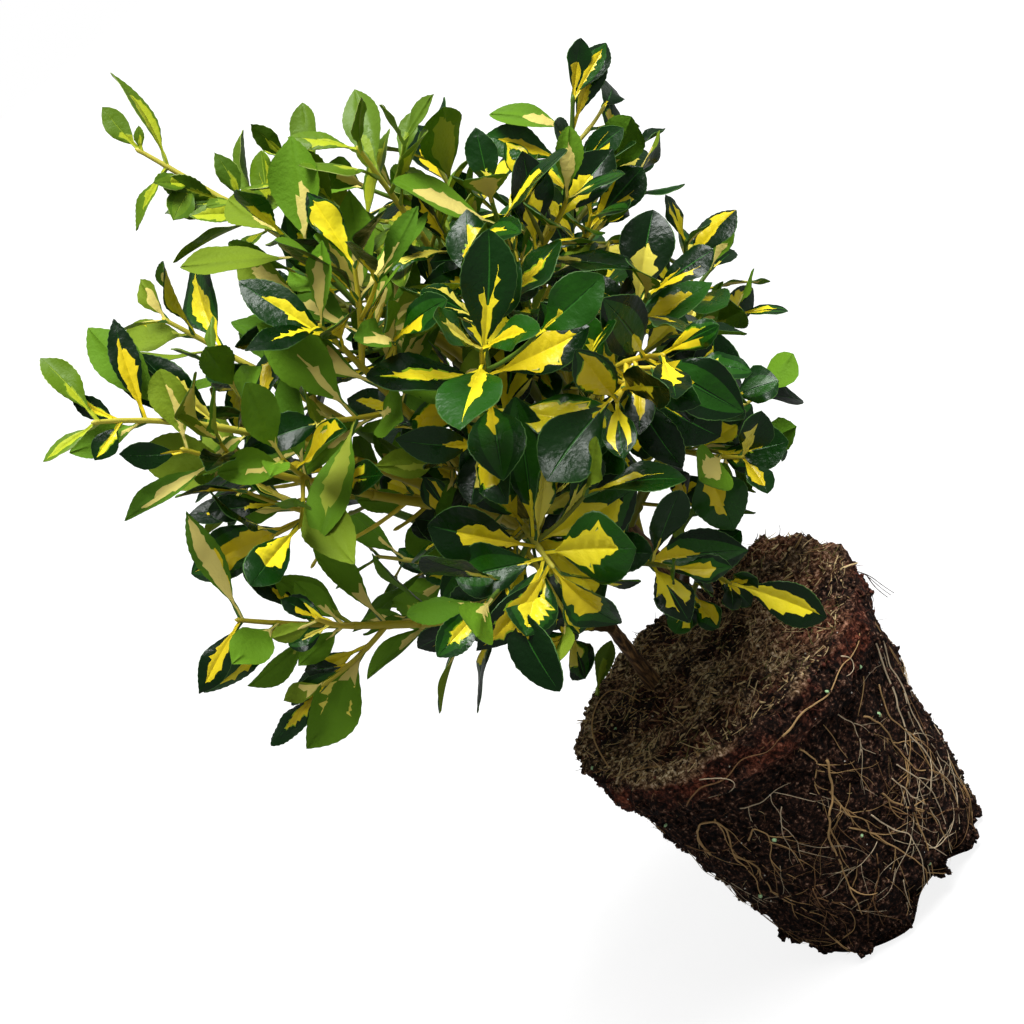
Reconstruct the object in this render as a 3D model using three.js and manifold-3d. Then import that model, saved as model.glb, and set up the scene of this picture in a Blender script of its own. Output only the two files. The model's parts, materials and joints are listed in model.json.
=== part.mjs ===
// A young gold-centred Japanese spindle shrub, lifted out of its nursery pot.
// It stands on the flat underside of its root ball, and two stems rise from the
// soil. Every shoot leaves its stem or bough as one curve: the bare lower part is
// a bough, and the upper part carries a mass of opposite leaves and side twigs.
// Units are millimetres, +Z is up, and the origin is at the middle of the flat underside.

import * as THREE from "three";
import { mergeVertices } from "three/addons/utils/BufferGeometryUtils.js";
import Module from "manifold-3d";

const wasm = await Module();
wasm.setup();

// Root ball, as a 13 cm nursery pot leaves it
const BALL_UNDERSIDE_RADIUS = 40;
const BALL_BOTTOM_RADIUS = 45.5;
const BALL_BOTTOM_EDGE = 9;
const BALL_SHOULDER_RADIUS = 59.5;
const BALL_RIM_RADIUS = 63.5;
const LIP_HEIGHT = 105;
const SOIL_HEIGHT = 118;
const SOIL_FLAT_RADIUS = 50;
const RIM_ROUND = 4;
const RIM_RISE = 2;
const RIM_LUMP = { azimuth: 30, height: 9, halfWidth: 24 };
const BALL_ROUGHNESS = 0.65;
const BALL_WAVES = [{ lobes: 5, slope: 0.11, start: 0 }, { lobes: 9, slope: -0.23, start: 1 }];
const BALL_SEGMENTS = 30;

// Limb sections and the gap that separate pieces keep
const GAP = 0.3;
const STEM_SIDES = 10;
const STEM_STEPS = 9;
const FLARE = 0.45;
const FLARE_LENGTH = 7;
const BOUGH_SIDES = 5;
const BOUGH_STEPS = 3;
const BOUGH_FOOT_RADIUS = 2.1;
const BOUGH_TIP_RADIUS = 1.55;
const TWIG_SIDES = 3;
const TWIG_FOOT_RADIUS = 1.1;
const SHOOT_TIP_RADIUS = 0.75;

// Growth of a shoot: nodes along it, and the side twigs in its middle
const NODE_SPACING = 12;
const FEWEST_NODES = 3;
const SHOOT_STEPS = 3;
const TWIG_NODES = 3;
const TWIG_STEPS = 2;
const TWIG_CHANCE = 0.8;
const TWIG_ANGLE = 48;
const TWIG_LENGTHS = [25.5, 39];
const TWIG_RISE = 0.15;
const QUARTER_TURN = 90;

// Leaf blade: its shoulders as shares of the length and of the half width, and its thickness
const LEAF_SHOULDERS = [{ at: 0.34, half: 0.84 }, { at: 0.72, half: 0.88 }];
const LEAF_THICKEST = 0.26;
const LEAF_THICKNESS = 1.3;
const LEAF_FOLD = 0.1;
const LEAF_DROOP = 0.14;
const ROOT_SUNK = 0.45;
const ROOT_SETBACK = 1;

// Leaf sizes and angles. A leaf is small and upright at the tip of its twig, reaches its
// full size and angle some nodes below the tip, and is small again near the foot.
const LEAF_LENGTH = 46;
const LEAF_GROWTH = [0.86, 1.1];
const LEAF_WIDTH_SHARES = [0.38, 0.5];
const LEAF_WOBBLE = [-14, 14];
const LEAF_LIFT = [-8, 8];
const TIP_SIZE = 0.5;
const FULL_SIZE_NODES = 2;
const FOOT_SIZE = 0.72;
const FOOT_NODES = 3;
const TIP_ANGLE = 28;
const FULL_ANGLE_NODES = 2.5;

// How far a blade turns to the light, unless its underside faces it
const LIGHT = new THREE.Vector3(0.35, -0.45, 0.82).normalize();
const LIGHT_TWIST = 0.35;
const UNDERSIDE_LIT = -0.3;

// Room that a leaf may take, and the turns and sizes that are tried for it
const SPACE_GIVE = 9;
const SOIL_CLEARANCE = 2;
const TRIES = [{ turn: 0, size: 1 }, { turn: -16, size: 0.86 }, { turn: 20, size: 0.78 }];

// Stems: foot on the soil, top in the crown, and the radii there
const STEMS = [
  { name: "stem_left", foot: [-22, 21], top: [-16, -20, 276], footRadius: 2.5, topRadius: 1.6 },
  { name: "stem_right", foot: [11, 38], top: [3, 4, 288], footRadius: 3.3, topRadius: 1.6 },
];

// Shoots. tip is its azimuth in degrees from +X, its reach from the vertical axis and its
// height; `at` is the share of the parent's length where the shoot leaves it. rise bows it
// upwards by a share of its length, bare is the share without leaves, open is the angle
// between a mature leaf and the twig, size scales the leaves, and twigs counts side twigs.
const USUAL = { rise: 0.04, bare: 0.48, open: 60, size: 1, twigs: 2 };
const SHOOTS = [
  { name: "top_left", from: "stem_left", at: 1, tip: [-125, 36, 348],
    bare: 0, open: 55, size: 0.95, twigs: 1 },
  { name: "high_left", from: "stem_right", at: 1, tip: [112, 8, 360], bare: 0, open: 50, size: 0.8 },
  { name: "far_left", from: "stem_left", at: 0.52, tip: [-150, 118, 344],
    rise: 0.1, bare: 0.42, open: 52, size: 0.85, twigs: 1 },
  { name: "right_top", from: "stem_right", at: 0.5, tip: [2, 86, 314], rise: 0.02, open: 52, size: 0.92 },
  { name: "high_left_tip", from: "stem_right", at: 0.8, tip: [140, 52, 392],
    open: 55, size: 0.78, twigs: 1 },
  { name: "high_middle", from: "right_top", at: 0.12, tip: [-40, 22, 350],
    rise: 0, open: 50, size: 0.8, twigs: 1 },
  { name: "high_back", from: "right_top", at: 0.35, tip: [46, 56, 322],
    rise: 0, bare: 0.4, open: 48, size: 0.92 },
  { name: "right_back", from: "stem_right", at: 0.4, tip: [20, 100, 226], rise: 0.06, size: 0.92 },
  { name: "right_middle", from: "stem_right", at: 0.31, tip: [-18, 66, 202],
    rise: 0.06, bare: 0.4, open: 66 },
  { name: "right_low", from: "stem_right", at: 0.17, tip: [36, 56, 158],
    rise: 0.08, bare: 0.35, size: 0.82 },
  { name: "left_back", from: "stem_left", at: 0.46, tip: [168, 72, 344],
    bare: 0.52, open: 52, size: 0.95, twigs: 1 },
  { name: "left_front", from: "far_left", at: 0.3, tip: [-150, 102, 318],
    rise: -0.04, bare: 0.42, open: 55 },
  { name: "low_left", from: "stem_left", at: 0.33, tip: [-158, 122, 262],
    rise: -0.06, bare: 0.55, open: 52 },
  { name: "low_middle", from: "stem_left", at: 0.24, tip: [178, 74, 208], rise: 0.02, bare: 0.38 },
  { name: "low_centre", from: "stem_left", at: 0.2, tip: [-142, 46, 176],
    rise: 0.05, bare: 0.36, size: 0.92 },
  { name: "front_rosette", from: "stem_left", at: 0.48, tip: [-104, 94, 223],
    rise: 0.16, bare: 0.4, open: 78, size: 1.08 },
  { name: "right_rosette", from: "stem_right", at: 0.47, tip: [-61, 95, 250], rise: 0.12, open: 76 },
  { name: "basal", from: "stem_right", at: 0.08, tip: [-62, 44, 156],
    rise: 0.12, open: 66, size: 0.8, twigs: 1 },
  { name: "centre_left", from: "far_left", at: 0.12, tip: [-116, 68, 322], rise: 0.03 },
  { name: "top_middle", from: "right_rosette", at: 0.2, tip: [-47, 56, 314], rise: 0.03, size: 0.95 },
  { name: "centre_front", from: "stem_left", at: 0.42, tip: [-88, 88, 290], rise: 0.08, open: 70 },
  { name: "right_front", from: "right_rosette", at: 0.3, tip: [-36, 73, 256], bare: 0.4, open: 68 },
  { name: "low_front", from: "stem_left", at: 0.3, tip: [-84, 66, 186],
    rise: 0.1, bare: 0.4, open: 74, size: 0.95 },
  { name: "back_low_right", from: "stem_right", at: 0.26, tip: [62, 98, 200],
    rise: 0.06, bare: 0.4, twigs: 1 },
  { name: "back_high_right", from: "stem_right", at: 0.45, tip: [52, 88, 276],
    rise: 0, size: 0.95, twigs: 1 },
  { name: "back_middle", from: "stem_right", at: 0.36, tip: [96, 104, 236], bare: 0.45, twigs: 1 },
  { name: "back_low_left", from: "stem_left", at: 0.29, tip: [138, 98, 214], bare: 0.42, twigs: 1 },
  { name: "back_high_left", from: "stem_left", at: 0.39, tip: [150, 98, 286],
    rise: -0.02, size: 0.95, twigs: 1 },
  { name: "back_top", from: "stem_right", at: 0.6, tip: [98, 72, 314],
    rise: -0.02, bare: 0.45, size: 0.95, twigs: 1 },
];
const YOUNG_SHOOTS = ["high_left", "high_left_tip", "high_middle", "far_left"];
const COLOURS = { soil: 0x2a1c14, bark: 0x5a4326, bough: 0x8a7c34, mature: 0x2a571c, young: 0x86a936 };

const radians = THREE.MathUtils.degToRad;
const mix = THREE.MathUtils.lerp;
const vector = (x, y, z) => new THREE.Vector3(x, y, z);
const crossOf = (one, other) => new THREE.Vector3().crossVectors(one, other);

// The same stream of draws for the same seed, from 0 to 1
const SEED_STEP = 7919;
const SEED_SHIFT = 12345;
const DRAW_STEP = 1664525;
const DRAW_SHIFT = 1013904223;
function draws(seed) {
  let state = (seed * SEED_STEP + SEED_SHIFT) >>> 0;
  return () => {
    state = (Math.imul(state, DRAW_STEP) + DRAW_SHIFT) >>> 0;
    return state / 2 ** 32;
  };
}

function polar([azimuth, reach, height]) {
  return vector(reach * Math.cos(radians(azimuth)), reach * Math.sin(radians(azimuth)), height);
}

// Stops along a curve between two shares of it, each with its direction and with a side
// direction that is carried along without twisting
const SHORTEST_SIDE = 0.2;
function walk(curve, from, to, steps) {
  const stops = [];
  for (let i = 0; i <= steps; i++) {
    const share = mix(from, to, i / steps);
    const along = curve.getTangent(share);
    const before = i === 0 ? vector(0, 0, 1) : stops[i - 1].side;
    const side = before.clone().addScaledVector(along, -before.dot(along));
    if (side.length() < SHORTEST_SIDE) side.crossVectors(along, vector(1, 0, 0));
    stops.push({ point: curve.getPoint(share), along, side: side.normalize() });
  }
  return stops;
}

// The stop at a share of the way along straight steps between stops
function stopAt(stops, share) {
  const reach = share * (stops.length - 1);
  const step = Math.min(Math.floor(reach), stops.length - 2);
  const [one, next] = [stops[step], stops[step + 1]];
  const point = one.point.clone().lerp(next.point, reach - step);
  const along = one.along.clone().lerp(next.along, reach - step).normalize();
  const side = one.side.clone().lerp(next.side, reach - step);
  side.addScaledVector(along, -side.dot(along)).normalize();
  return { point, along, side };
}

// The closed surface of a limb: a cylinder whose rings are set at the stops
function limbGeometry(stops, radii, sides) {
  const steps = stops.length - 1;
  const tube = new THREE.CylinderGeometry(1, 1, 1, sides, steps);
  const places = tube.attributes.position;
  for (let i = 0; i < places.count; i++) {
    const ring = Math.round((places.getY(i) + 0.5) * steps);
    const { point, along, side } = stops[ring];
    const place = point.clone();
    place.addScaledVector(side, places.getX(i) * radii[ring]);
    place.addScaledVector(crossOf(along, side), -places.getZ(i) * radii[ring]);
    places.setXYZ(i, place.x, place.y, place.z);
  }
  return tube;
}

function solidOf(geometry) {
  geometry.deleteAttribute("normal");
  geometry.deleteAttribute("uv");
  const merged = mergeVertices(geometry, 1e-4);
  const mesh = new wasm.Mesh({
    numProp: 3,
    vertProperties: new Float32Array(merged.attributes.position.array),
    triVerts: new Uint32Array(merged.index.array),
  });
  return new wasm.Manifold(mesh);
}

function geometryOf(solid) {
  const { vertProperties, triVerts } = solid.getMesh();
  const geometry = new THREE.BufferGeometry();
  geometry.setAttribute("position", new THREE.BufferAttribute(new Float32Array(vertProperties), 3));
  geometry.setIndex(new THREE.BufferAttribute(new Uint32Array(triVerts), 1));
  return geometry;
}

function largestPiece(solid) {
  const pieces = solid.decompose();
  return pieces.reduce((best, piece) => (piece.volume() > best.volume() ? piece : best));
}

// A leaf is a folded blade: a root, two shoulders on each side, a tip, and one point above
// and one below its midrib
const LEAF_FACES = [
  [0, 6, 1], [0, 2, 6], [1, 6, 3], [2, 4, 6], [3, 6, 5], [4, 5, 6],
  [0, 1, 7], [0, 7, 2], [1, 3, 7], [2, 7, 4], [3, 5, 7], [4, 7, 5],
];

function leafCorners(leaf, swell) {
  const across = crossOf(leaf.normal, leaf.along);
  const half = leaf.width / 2 + swell;
  const fold = leaf.width * LEAF_FOLD;
  const place = (distance, side, rise) => {
    const drop = (LEAF_DROOP * distance * distance) / leaf.length;
    const corner = leaf.root.clone().addScaledVector(leaf.along, distance);
    return corner.addScaledVector(across, side).addScaledVector(leaf.normal, rise - drop);
  };
  const shoulders = LEAF_SHOULDERS.flatMap((shoulder) => [1, -1].map(
    (side) => place(leaf.length * shoulder.at, side * half * shoulder.half, fold)));
  const thickest = [1, -1].map(
    (face) => place(leaf.length * LEAF_THICKEST, 0, face * (LEAF_THICKNESS / 2 + swell)));
  return [place(-leaf.sunk, 0, 0), ...shoulders, place(leaf.length + swell, 0, 0), ...thickest];
}

function leafGeometry(leaf) {
  const geometry = new THREE.BufferGeometry().setFromPoints(leafCorners(leaf, 0));
  return geometry.setIndex(LEAF_FACES.flat());
}

// The room that a grown piece takes up: corners, faces and edges, in a ball round its middle
function edgesOf(faces) {
  const edges = new Map();
  for (const face of faces) {
    face.forEach((a, i) => {
      const b = face[(i + 1) % 3];
      edges.set(`${Math.min(a, b)} ${Math.max(a, b)}`, [a, b]);
    });
  }
  return [...edges.values()];
}

function room(corners, faces, edges, owner) {
  const middle = vector(0, 0, 0);
  corners.forEach((corner) => middle.addScaledVector(corner, 1 / corners.length));
  const radius = Math.max(...corners.map((corner) => corner.distanceTo(middle)));
  return { corners, faces, edges, middle, radius, owner };
}

function edgeMeetsFace(start, end, a, b, c) {
  const edge = end.clone().sub(start);
  const toB = b.clone().sub(a);
  const toC = c.clone().sub(a);
  const across = crossOf(edge, toC);
  const scale = toB.dot(across);
  if (Math.abs(scale) < 1e-9) return false;
  const offset = start.clone().sub(a);
  const u = offset.dot(across) / scale;
  if (u < 0 || u > 1) return false;
  const turned = crossOf(offset, toB);
  const v = edge.dot(turned) / scale;
  if (v < 0 || u + v > 1) return false;
  const t = toC.dot(turned) / scale;
  return t >= 0 && t <= 1;
}

function edgesMeetFaces(one, other) {
  return one.edges.some(([i, j]) => other.faces.some(([a, b, c]) => edgeMeetsFace(
    one.corners[i], one.corners[j], other.corners[a], other.corners[b], other.corners[c])));
}

function meets(one, other) {
  if (one.middle.distanceTo(other.middle) > one.radius + other.radius) return false;
  return edgesMeetFaces(one, other) || edgesMeetFaces(other, one);
}

const LEAF_EDGES = edgesOf(LEAF_FACES);

// A limb's room is one six-sided prism for each of its steps, wider by the gap
const PRISM_SIDES = 6;
const PRISM_SWELL = 1.1;
const PRISM_FACES = [];
for (let i = 0; i < PRISM_SIDES; i++) {
  const next = (i + 1) % PRISM_SIDES;
  PRISM_FACES.push([i, next, PRISM_SIDES + i], [next, PRISM_SIDES + next, PRISM_SIDES + i]);
}
const PRISM_EDGES = edgesOf(PRISM_FACES);

function limbRooms(stops, radii, owner) {
  const rings = stops.map(({ point, along, side }, i) => {
    const across = crossOf(along, side);
    const radius = (radii[i] + GAP) * PRISM_SWELL;
    return Array.from({ length: PRISM_SIDES }, (_, k) => {
      const turn = (2 * Math.PI * k) / PRISM_SIDES;
      const corner = point.clone().addScaledVector(side, Math.cos(turn) * radius);
      return corner.addScaledVector(across, Math.sin(turn) * radius);
    });
  });
  return rings.slice(1).map((ring, i) => room([...rings[i], ...ring], PRISM_FACES, PRISM_EDGES, owner));
}

// Curves of the stems, then of the shoots, which leave them and each other
const limbs = {};
for (const stem of STEMS) {
  const foot = vector(...stem.foot, SOIL_HEIGHT + GAP);
  const top = vector(...stem.top);
  const bend = foot.clone().lerp(top, 0.5);
  const curve = new THREE.QuadraticBezierCurve3(foot, bend, top);
  const height = top.z - foot.z;
  const stops = walk(curve, 0, 1, STEM_STEPS);
  const radii = stops.map((_, i) => {
    const share = i / STEM_STEPS;
    const flare = 1 + FLARE * Math.exp((-share * height) / FLARE_LENGTH);
    return mix(stem.footRadius, stem.topRadius, share) * flare;
  });
  stops[0].along.set(0, 0, 1);
  stops[0].side.set(1, 0, 0);
  limbs[stem.name] = { curve, end: 1, stops, radii };
}

const shoots = SHOOTS.map((row, index) => {
  const shoot = { ...USUAL, ...row, draw: draws(index + 1) };
  const parent = limbs[shoot.from];
  const foot = parent.curve.getPoint(shoot.at * parent.end);
  const tip = polar(shoot.tip);
  const length = foot.distanceTo(tip);
  const onward = parent.curve.getTangent(1);
  const bend = shoot.bare === 0
    ? foot.clone().addScaledVector(onward, length / 2)
    : foot.clone().lerp(tip, 0.5).add(vector(0, 0, 2 * shoot.rise * length));
  if (shoot.bare === 0) foot.addScaledVector(onward, GAP);
  const curve = new THREE.QuadraticBezierCurve3(foot, bend, tip);
  const nodes = Math.max(FEWEST_NODES, Math.round(((1 - shoot.bare) * length) / NODE_SPACING));
  const stops = walk(curve, shoot.bare, 1, SHOOT_STEPS);
  const radii = stops.map((_, i) => mix(BOUGH_TIP_RADIUS, SHOOT_TIP_RADIUS, i / SHOOT_STEPS));
  const boughStops = walk(curve, 0, shoot.bare, BOUGH_STEPS);
  const boughRadii = boughStops.map((_, i) => mix(BOUGH_FOOT_RADIUS, BOUGH_TIP_RADIUS, i / BOUGH_STEPS));
  limbs[shoot.name] = { curve, end: shoot.bare, stops: boughStops, radii: boughRadii };
  const phase = shoot.draw() * QUARTER_TURN;
  const axis = { name: `axis_${shoot.name}`, stops, radii, nodes, phase, shed: [] };
  return { ...shoot, stops, twigs: [axis], sideTwigs: shoot.twigs };
});

// A mass's own space is where its shoot is the nearest one
function distanceToShoot(point, shoot) {
  const step = new THREE.Line3();
  const nearest = vector(0, 0, 0);
  const distances = shoot.stops.slice(1).map((stop, i) => {
    step.set(shoot.stops[i].point, stop.point);
    return step.closestPointToPoint(point, true, nearest).distanceTo(point);
  });
  return Math.min(...distances);
}

function inOwnSpace(point, shoot, give) {
  const own = distanceToShoot(point, shoot) - give;
  return shoots.every((other) => other.name === shoot.name || distanceToShoot(point, other) > own);
}

function sideDirection(stop, turn) {
  return stop.side.clone().applyAxisAngle(stop.along, radians(turn));
}

const grown = [];
for (const [name, limb] of Object.entries(limbs)) {
  if (limb.end > 0) grown.push(...limbRooms(limb.stops, limb.radii, name));
}
for (const shoot of shoots) {
  const [axis] = shoot.twigs;
  grown.push(...limbRooms(axis.stops, axis.radii, axis.name));
}

// Side twigs leave the middle nodes, each in the axil of a leaf that has been shed
for (const shoot of shoots) {
  const [axis] = shoot.twigs;
  for (let node = 1; node < axis.nodes - 1; node++) {
    const chance = shoot.draw();
    const side = shoot.draw() < 0.5 ? 0 : 180;
    const reach = mix(...TWIG_LENGTHS, shoot.draw()) * shoot.size;
    const phase = shoot.draw() * QUARTER_TURN;
    if (chance > TWIG_CHANCE || shoot.twigs.length > shoot.sideTwigs) continue;
    const stop = stopAt(axis.stops, node / axis.nodes);
    const outward = sideDirection(stop, axis.phase + node * QUARTER_TURN + side);
    const heading = stop.along.clone().multiplyScalar(Math.cos(radians(TWIG_ANGLE)));
    heading.addScaledVector(outward, Math.sin(radians(TWIG_ANGLE)));
    const bend = stop.point.clone().addScaledVector(heading, reach / 2);
    const tip = stop.point.clone().addScaledVector(heading, reach).add(vector(0, 0, reach * TWIG_RISE));
    const curve = new THREE.QuadraticBezierCurve3(stop.point, bend, tip);
    const stops = walk(curve, 0, 1, TWIG_STEPS);
    const radii = stops.map((_, i) => mix(TWIG_FOOT_RADIUS, SHOOT_TIP_RADIUS, i / TWIG_STEPS));
    const name = `twig_${shoot.name}_${node}`;
    const rooms = limbRooms(stops, radii, name);
    const blocked = (other) => other.owner !== axis.name && rooms.some((one) => meets(one, other));
    if (grown.some(blocked) || !inOwnSpace(tip, shoot, 0)) continue;
    shoot.twigs.push({ name, stops, radii, nodes: TWIG_NODES, phase, shed: [] });
    axis.shed.push(`${node} ${side}`);
    grown.push(...rooms);
  }
}

// A pair of leaves at each node, turned a quarter from node to node
const buds = [];
for (const shoot of shoots) {
  for (const twig of shoot.twigs) {
    for (let node = twig.nodes; node >= 1; node--) {
      const stop = stopAt(twig.stops, node / twig.nodes);
      for (const side of [0, 180]) {
        const wobble = mix(...LEAF_WOBBLE, shoot.draw());
        const lift = mix(...LEAF_LIFT, shoot.draw());
        const growth = mix(...LEAF_GROWTH, shoot.draw());
        const widthShare = mix(...LEAF_WIDTH_SHARES, shoot.draw());
        if (twig.shed.includes(`${node} ${side}`)) continue;
        const rank = twig.nodes - node;
        const tipShare = mix(TIP_SIZE, 1, Math.min(1, rank / FULL_SIZE_NODES));
        const footShare = mix(FOOT_SIZE, 1, Math.min(1, node / FOOT_NODES));
        const turn = twig.phase + node * QUARTER_TURN + side + wobble;
        buds.push({
          shoot, twig, node, rank, stop, widthShare,
          outward: sideDirection(stop, turn),
          angle: mix(TIP_ANGLE, shoot.open, Math.min(1, rank / FULL_ANGLE_NODES)) + lift,
          length: LEAF_LENGTH * tipShare * footShare * growth * shoot.size,
        });
      }
    }
  }
}
buds.sort((one, other) => one.rank - other.rank);

function leafFrom(bud, { turn, size }) {
  const { stop, twig } = bud;
  const twigRadius = mix(twig.radii[0], SHOOT_TIP_RADIUS, bud.node / twig.nodes);
  const angle = radians(bud.angle + turn);
  const along = stop.along.clone().multiplyScalar(Math.cos(angle));
  along.addScaledVector(bud.outward, Math.sin(angle));
  const normal = stop.along.clone().multiplyScalar(Math.sin(angle));
  normal.addScaledVector(bud.outward, -Math.cos(angle));
  const lit = LIGHT.clone().addScaledVector(along, -LIGHT.dot(along)).normalize();
  if (normal.dot(lit) > UNDERSIDE_LIT) normal.lerp(lit, LIGHT_TWIST).normalize();
  const root = stop.point.clone();
  if (bud.rank === 0) root.addScaledVector(stop.along, -ROOT_SETBACK);
  const length = bud.length * size;
  const width = length * bud.widthShare;
  return {
    root, along, normal, length, width,
    sunk: ROOT_SUNK * twigRadius, owner: twig.name, node: bud.node, shoot: bud.shoot.name,
  };
}

// A leaf grows where it stays in its mass's space and clear of the soil and of all else
// but its own twig and the other leaf of its pair
const leaves = [];
for (const bud of buds) {
  const free = (other) => other.owner === bud.twig.name && (other.node ?? bud.node) === bud.node;
  for (const attempt of TRIES) {
    const leaf = leafFrom(bud, attempt);
    const place = room(leafCorners(leaf, GAP), LEAF_FACES, LEAF_EDGES, leaf.owner);
    if (!inOwnSpace(place.middle, bud.shoot, SPACE_GIVE)) continue;
    if (place.corners.some((corner) => corner.z < SOIL_HEIGHT + SOIL_CLEARANCE)) continue;
    if (grown.some((other) => !free(other) && meets(place, other))) continue;
    grown.push({ ...place, node: leaf.node });
    leaves.push(leaf);
    break;
  }
}

// The root ball: a turned profile, roughened by slow waves, with a lump on its rim
function angleBetween(one, other) {
  return Math.abs(Math.atan2(Math.sin(one - other), Math.cos(one - other)));
}

function rootBall() {
  const sidePoint = (share) => [
    mix(BALL_BOTTOM_RADIUS, BALL_SHOULDER_RADIUS, share),
    mix(BALL_BOTTOM_EDGE, LIP_HEIGHT - RIM_ROUND, share),
  ];
  const profile = [
    [0, 0], [BALL_UNDERSIDE_RADIUS, 0],
    sidePoint(0), sidePoint(1 / 3), sidePoint(2 / 3), sidePoint(1),
    [BALL_RIM_RADIUS, LIP_HEIGHT], [BALL_RIM_RADIUS, SOIL_HEIGHT],
    [BALL_RIM_RADIUS - RIM_ROUND, SOIL_HEIGHT + RIM_RISE],
    [SOIL_FLAT_RADIUS, SOIL_HEIGHT], [0, SOIL_HEIGHT],
  ];
  const ball = new THREE.LatheGeometry(profile.map((pair) => new THREE.Vector2(...pair)), BALL_SEGMENTS);
  const places = ball.attributes.position;
  for (let i = 0; i < places.count; i++) {
    const azimuth = Math.atan2(places.getX(i), places.getZ(i));
    const radius = Math.hypot(places.getX(i), places.getZ(i));
    const height = places.getY(i);
    const onSide = radius > SOIL_FLAT_RADIUS || (height > 0 && height < SOIL_HEIGHT);
    let spread = radius;
    for (const { lobes, slope, start } of onSide ? BALL_WAVES : []) {
      spread += BALL_ROUGHNESS * Math.sin(azimuth * lobes + height * slope + start);
    }
    const away = angleBetween(azimuth, radians(RIM_LUMP.azimuth)) * radius;
    const swell = Math.exp(-((away / RIM_LUMP.halfWidth) ** 2));
    const lump = height > SOIL_HEIGHT ? RIM_LUMP.height * swell : 0;
    places.setXYZ(i, spread * Math.cos(azimuth), spread * Math.sin(azimuth), height + lump);
  }
  return ball;
}

const shrub = new THREE.Group();

function add(name, solid, colour) {
  const material = new THREE.MeshStandardMaterial({ color: colour, roughness: 0.7, metalness: 0 });
  const mesh = new THREE.Mesh(geometryOf(solid), material);
  mesh.name = name;
  shrub.add(mesh);
}

add("root_ball", solidOf(rootBall()), COLOURS.soil);

// Stems and boughs. A bough starts inside the limb that carries it, and is cut back by the
// gap from that limb and from every bough made before it.
const swollen = [];
for (const [name, { curve, end, stops, radii }] of Object.entries(limbs)) {
  if (end === 0) continue;
  const isStem = name.startsWith("stem");
  const sides = isStem ? STEM_SIDES : BOUGH_SIDES;
  const wide = walk(curve, 0, end, stops.length - 1);
  if (!isStem) stops.at(-1).point.addScaledVector(stops.at(-1).along, -GAP);
  let limb = solidOf(limbGeometry(stops, radii, sides));
  for (const other of isStem ? [] : swollen) limb = limb.subtract(other);
  swollen.push(solidOf(limbGeometry(wide, radii.map((radius) => radius + GAP), sides)));
  add(isStem ? name : `bough_${name}`, largestPiece(limb), isStem ? COLOURS.bark : COLOURS.bough);
}

// Masses: the leafy part of a shoot, its side twigs and its leaves, joined into one solid
for (const shoot of shoots) {
  const twigs = shoot.twigs.map(({ stops, radii }) => solidOf(limbGeometry(stops, radii, TWIG_SIDES)));
  const own = leaves.filter((leaf) => leaf.shoot === shoot.name);
  const joined = wasm.Manifold.union([...twigs, ...own.map((leaf) => solidOf(leafGeometry(leaf)))]);
  const colour = YOUNG_SHOOTS.includes(shoot.name) ? COLOURS.young : COLOURS.mature;
  add(`mass_${shoot.name}`, largestPiece(joined), colour);
}

export default shrub;
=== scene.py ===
# %% [markdown]
# # A gold-centred Japanese spindle, lifted out of its pot
# This lesson dresses a young evergreen shrub. The frame holds its plain solids: a root ball,
# two stems, boughs, and masses of leaves. Here they get bark, real leaf blades and crumbly peat.
# A plant is hard to model by hand, so nearly all of it is grown by a rule with seeded draws.
# Lengths are in millimetres until a mesh is made.

# %% Load the fixed frame
import json
import math
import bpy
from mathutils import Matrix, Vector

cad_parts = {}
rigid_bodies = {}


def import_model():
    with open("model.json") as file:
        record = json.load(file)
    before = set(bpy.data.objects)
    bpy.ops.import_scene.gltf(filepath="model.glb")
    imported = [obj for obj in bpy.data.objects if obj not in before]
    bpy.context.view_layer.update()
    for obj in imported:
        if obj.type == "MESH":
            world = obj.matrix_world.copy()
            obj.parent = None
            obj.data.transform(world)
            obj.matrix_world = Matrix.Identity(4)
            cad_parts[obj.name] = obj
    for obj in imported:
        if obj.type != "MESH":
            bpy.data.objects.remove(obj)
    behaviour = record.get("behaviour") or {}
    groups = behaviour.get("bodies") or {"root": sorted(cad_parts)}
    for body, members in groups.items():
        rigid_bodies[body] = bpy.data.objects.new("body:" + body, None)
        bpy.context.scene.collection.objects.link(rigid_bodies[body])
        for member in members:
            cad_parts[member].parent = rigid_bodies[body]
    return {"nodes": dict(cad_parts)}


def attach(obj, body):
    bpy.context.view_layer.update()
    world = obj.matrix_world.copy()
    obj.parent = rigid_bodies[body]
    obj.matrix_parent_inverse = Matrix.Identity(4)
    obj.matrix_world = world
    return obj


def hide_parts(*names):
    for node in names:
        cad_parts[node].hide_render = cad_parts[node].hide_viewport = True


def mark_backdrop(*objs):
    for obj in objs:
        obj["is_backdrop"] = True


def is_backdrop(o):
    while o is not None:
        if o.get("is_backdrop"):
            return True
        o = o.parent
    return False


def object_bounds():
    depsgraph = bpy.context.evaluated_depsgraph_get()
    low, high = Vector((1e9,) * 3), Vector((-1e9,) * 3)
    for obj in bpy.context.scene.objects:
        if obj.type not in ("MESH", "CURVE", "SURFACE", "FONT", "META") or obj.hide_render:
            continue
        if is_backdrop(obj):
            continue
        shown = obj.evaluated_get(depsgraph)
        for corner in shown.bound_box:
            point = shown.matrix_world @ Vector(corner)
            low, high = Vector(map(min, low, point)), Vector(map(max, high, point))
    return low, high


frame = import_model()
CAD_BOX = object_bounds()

from types import SimpleNamespace

import bmesh
import bpy
import numpy as np
from mathutils import Matrix, Quaternion, Vector, noise
from mathutils.bvhtree import BVHTree

MM = 0.001
print("nodes in the frame:", len(frame["nodes"]))
print("box in mm:", [tuple(round(value / MM) for value in corner) for corner in CAD_BOX])

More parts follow.
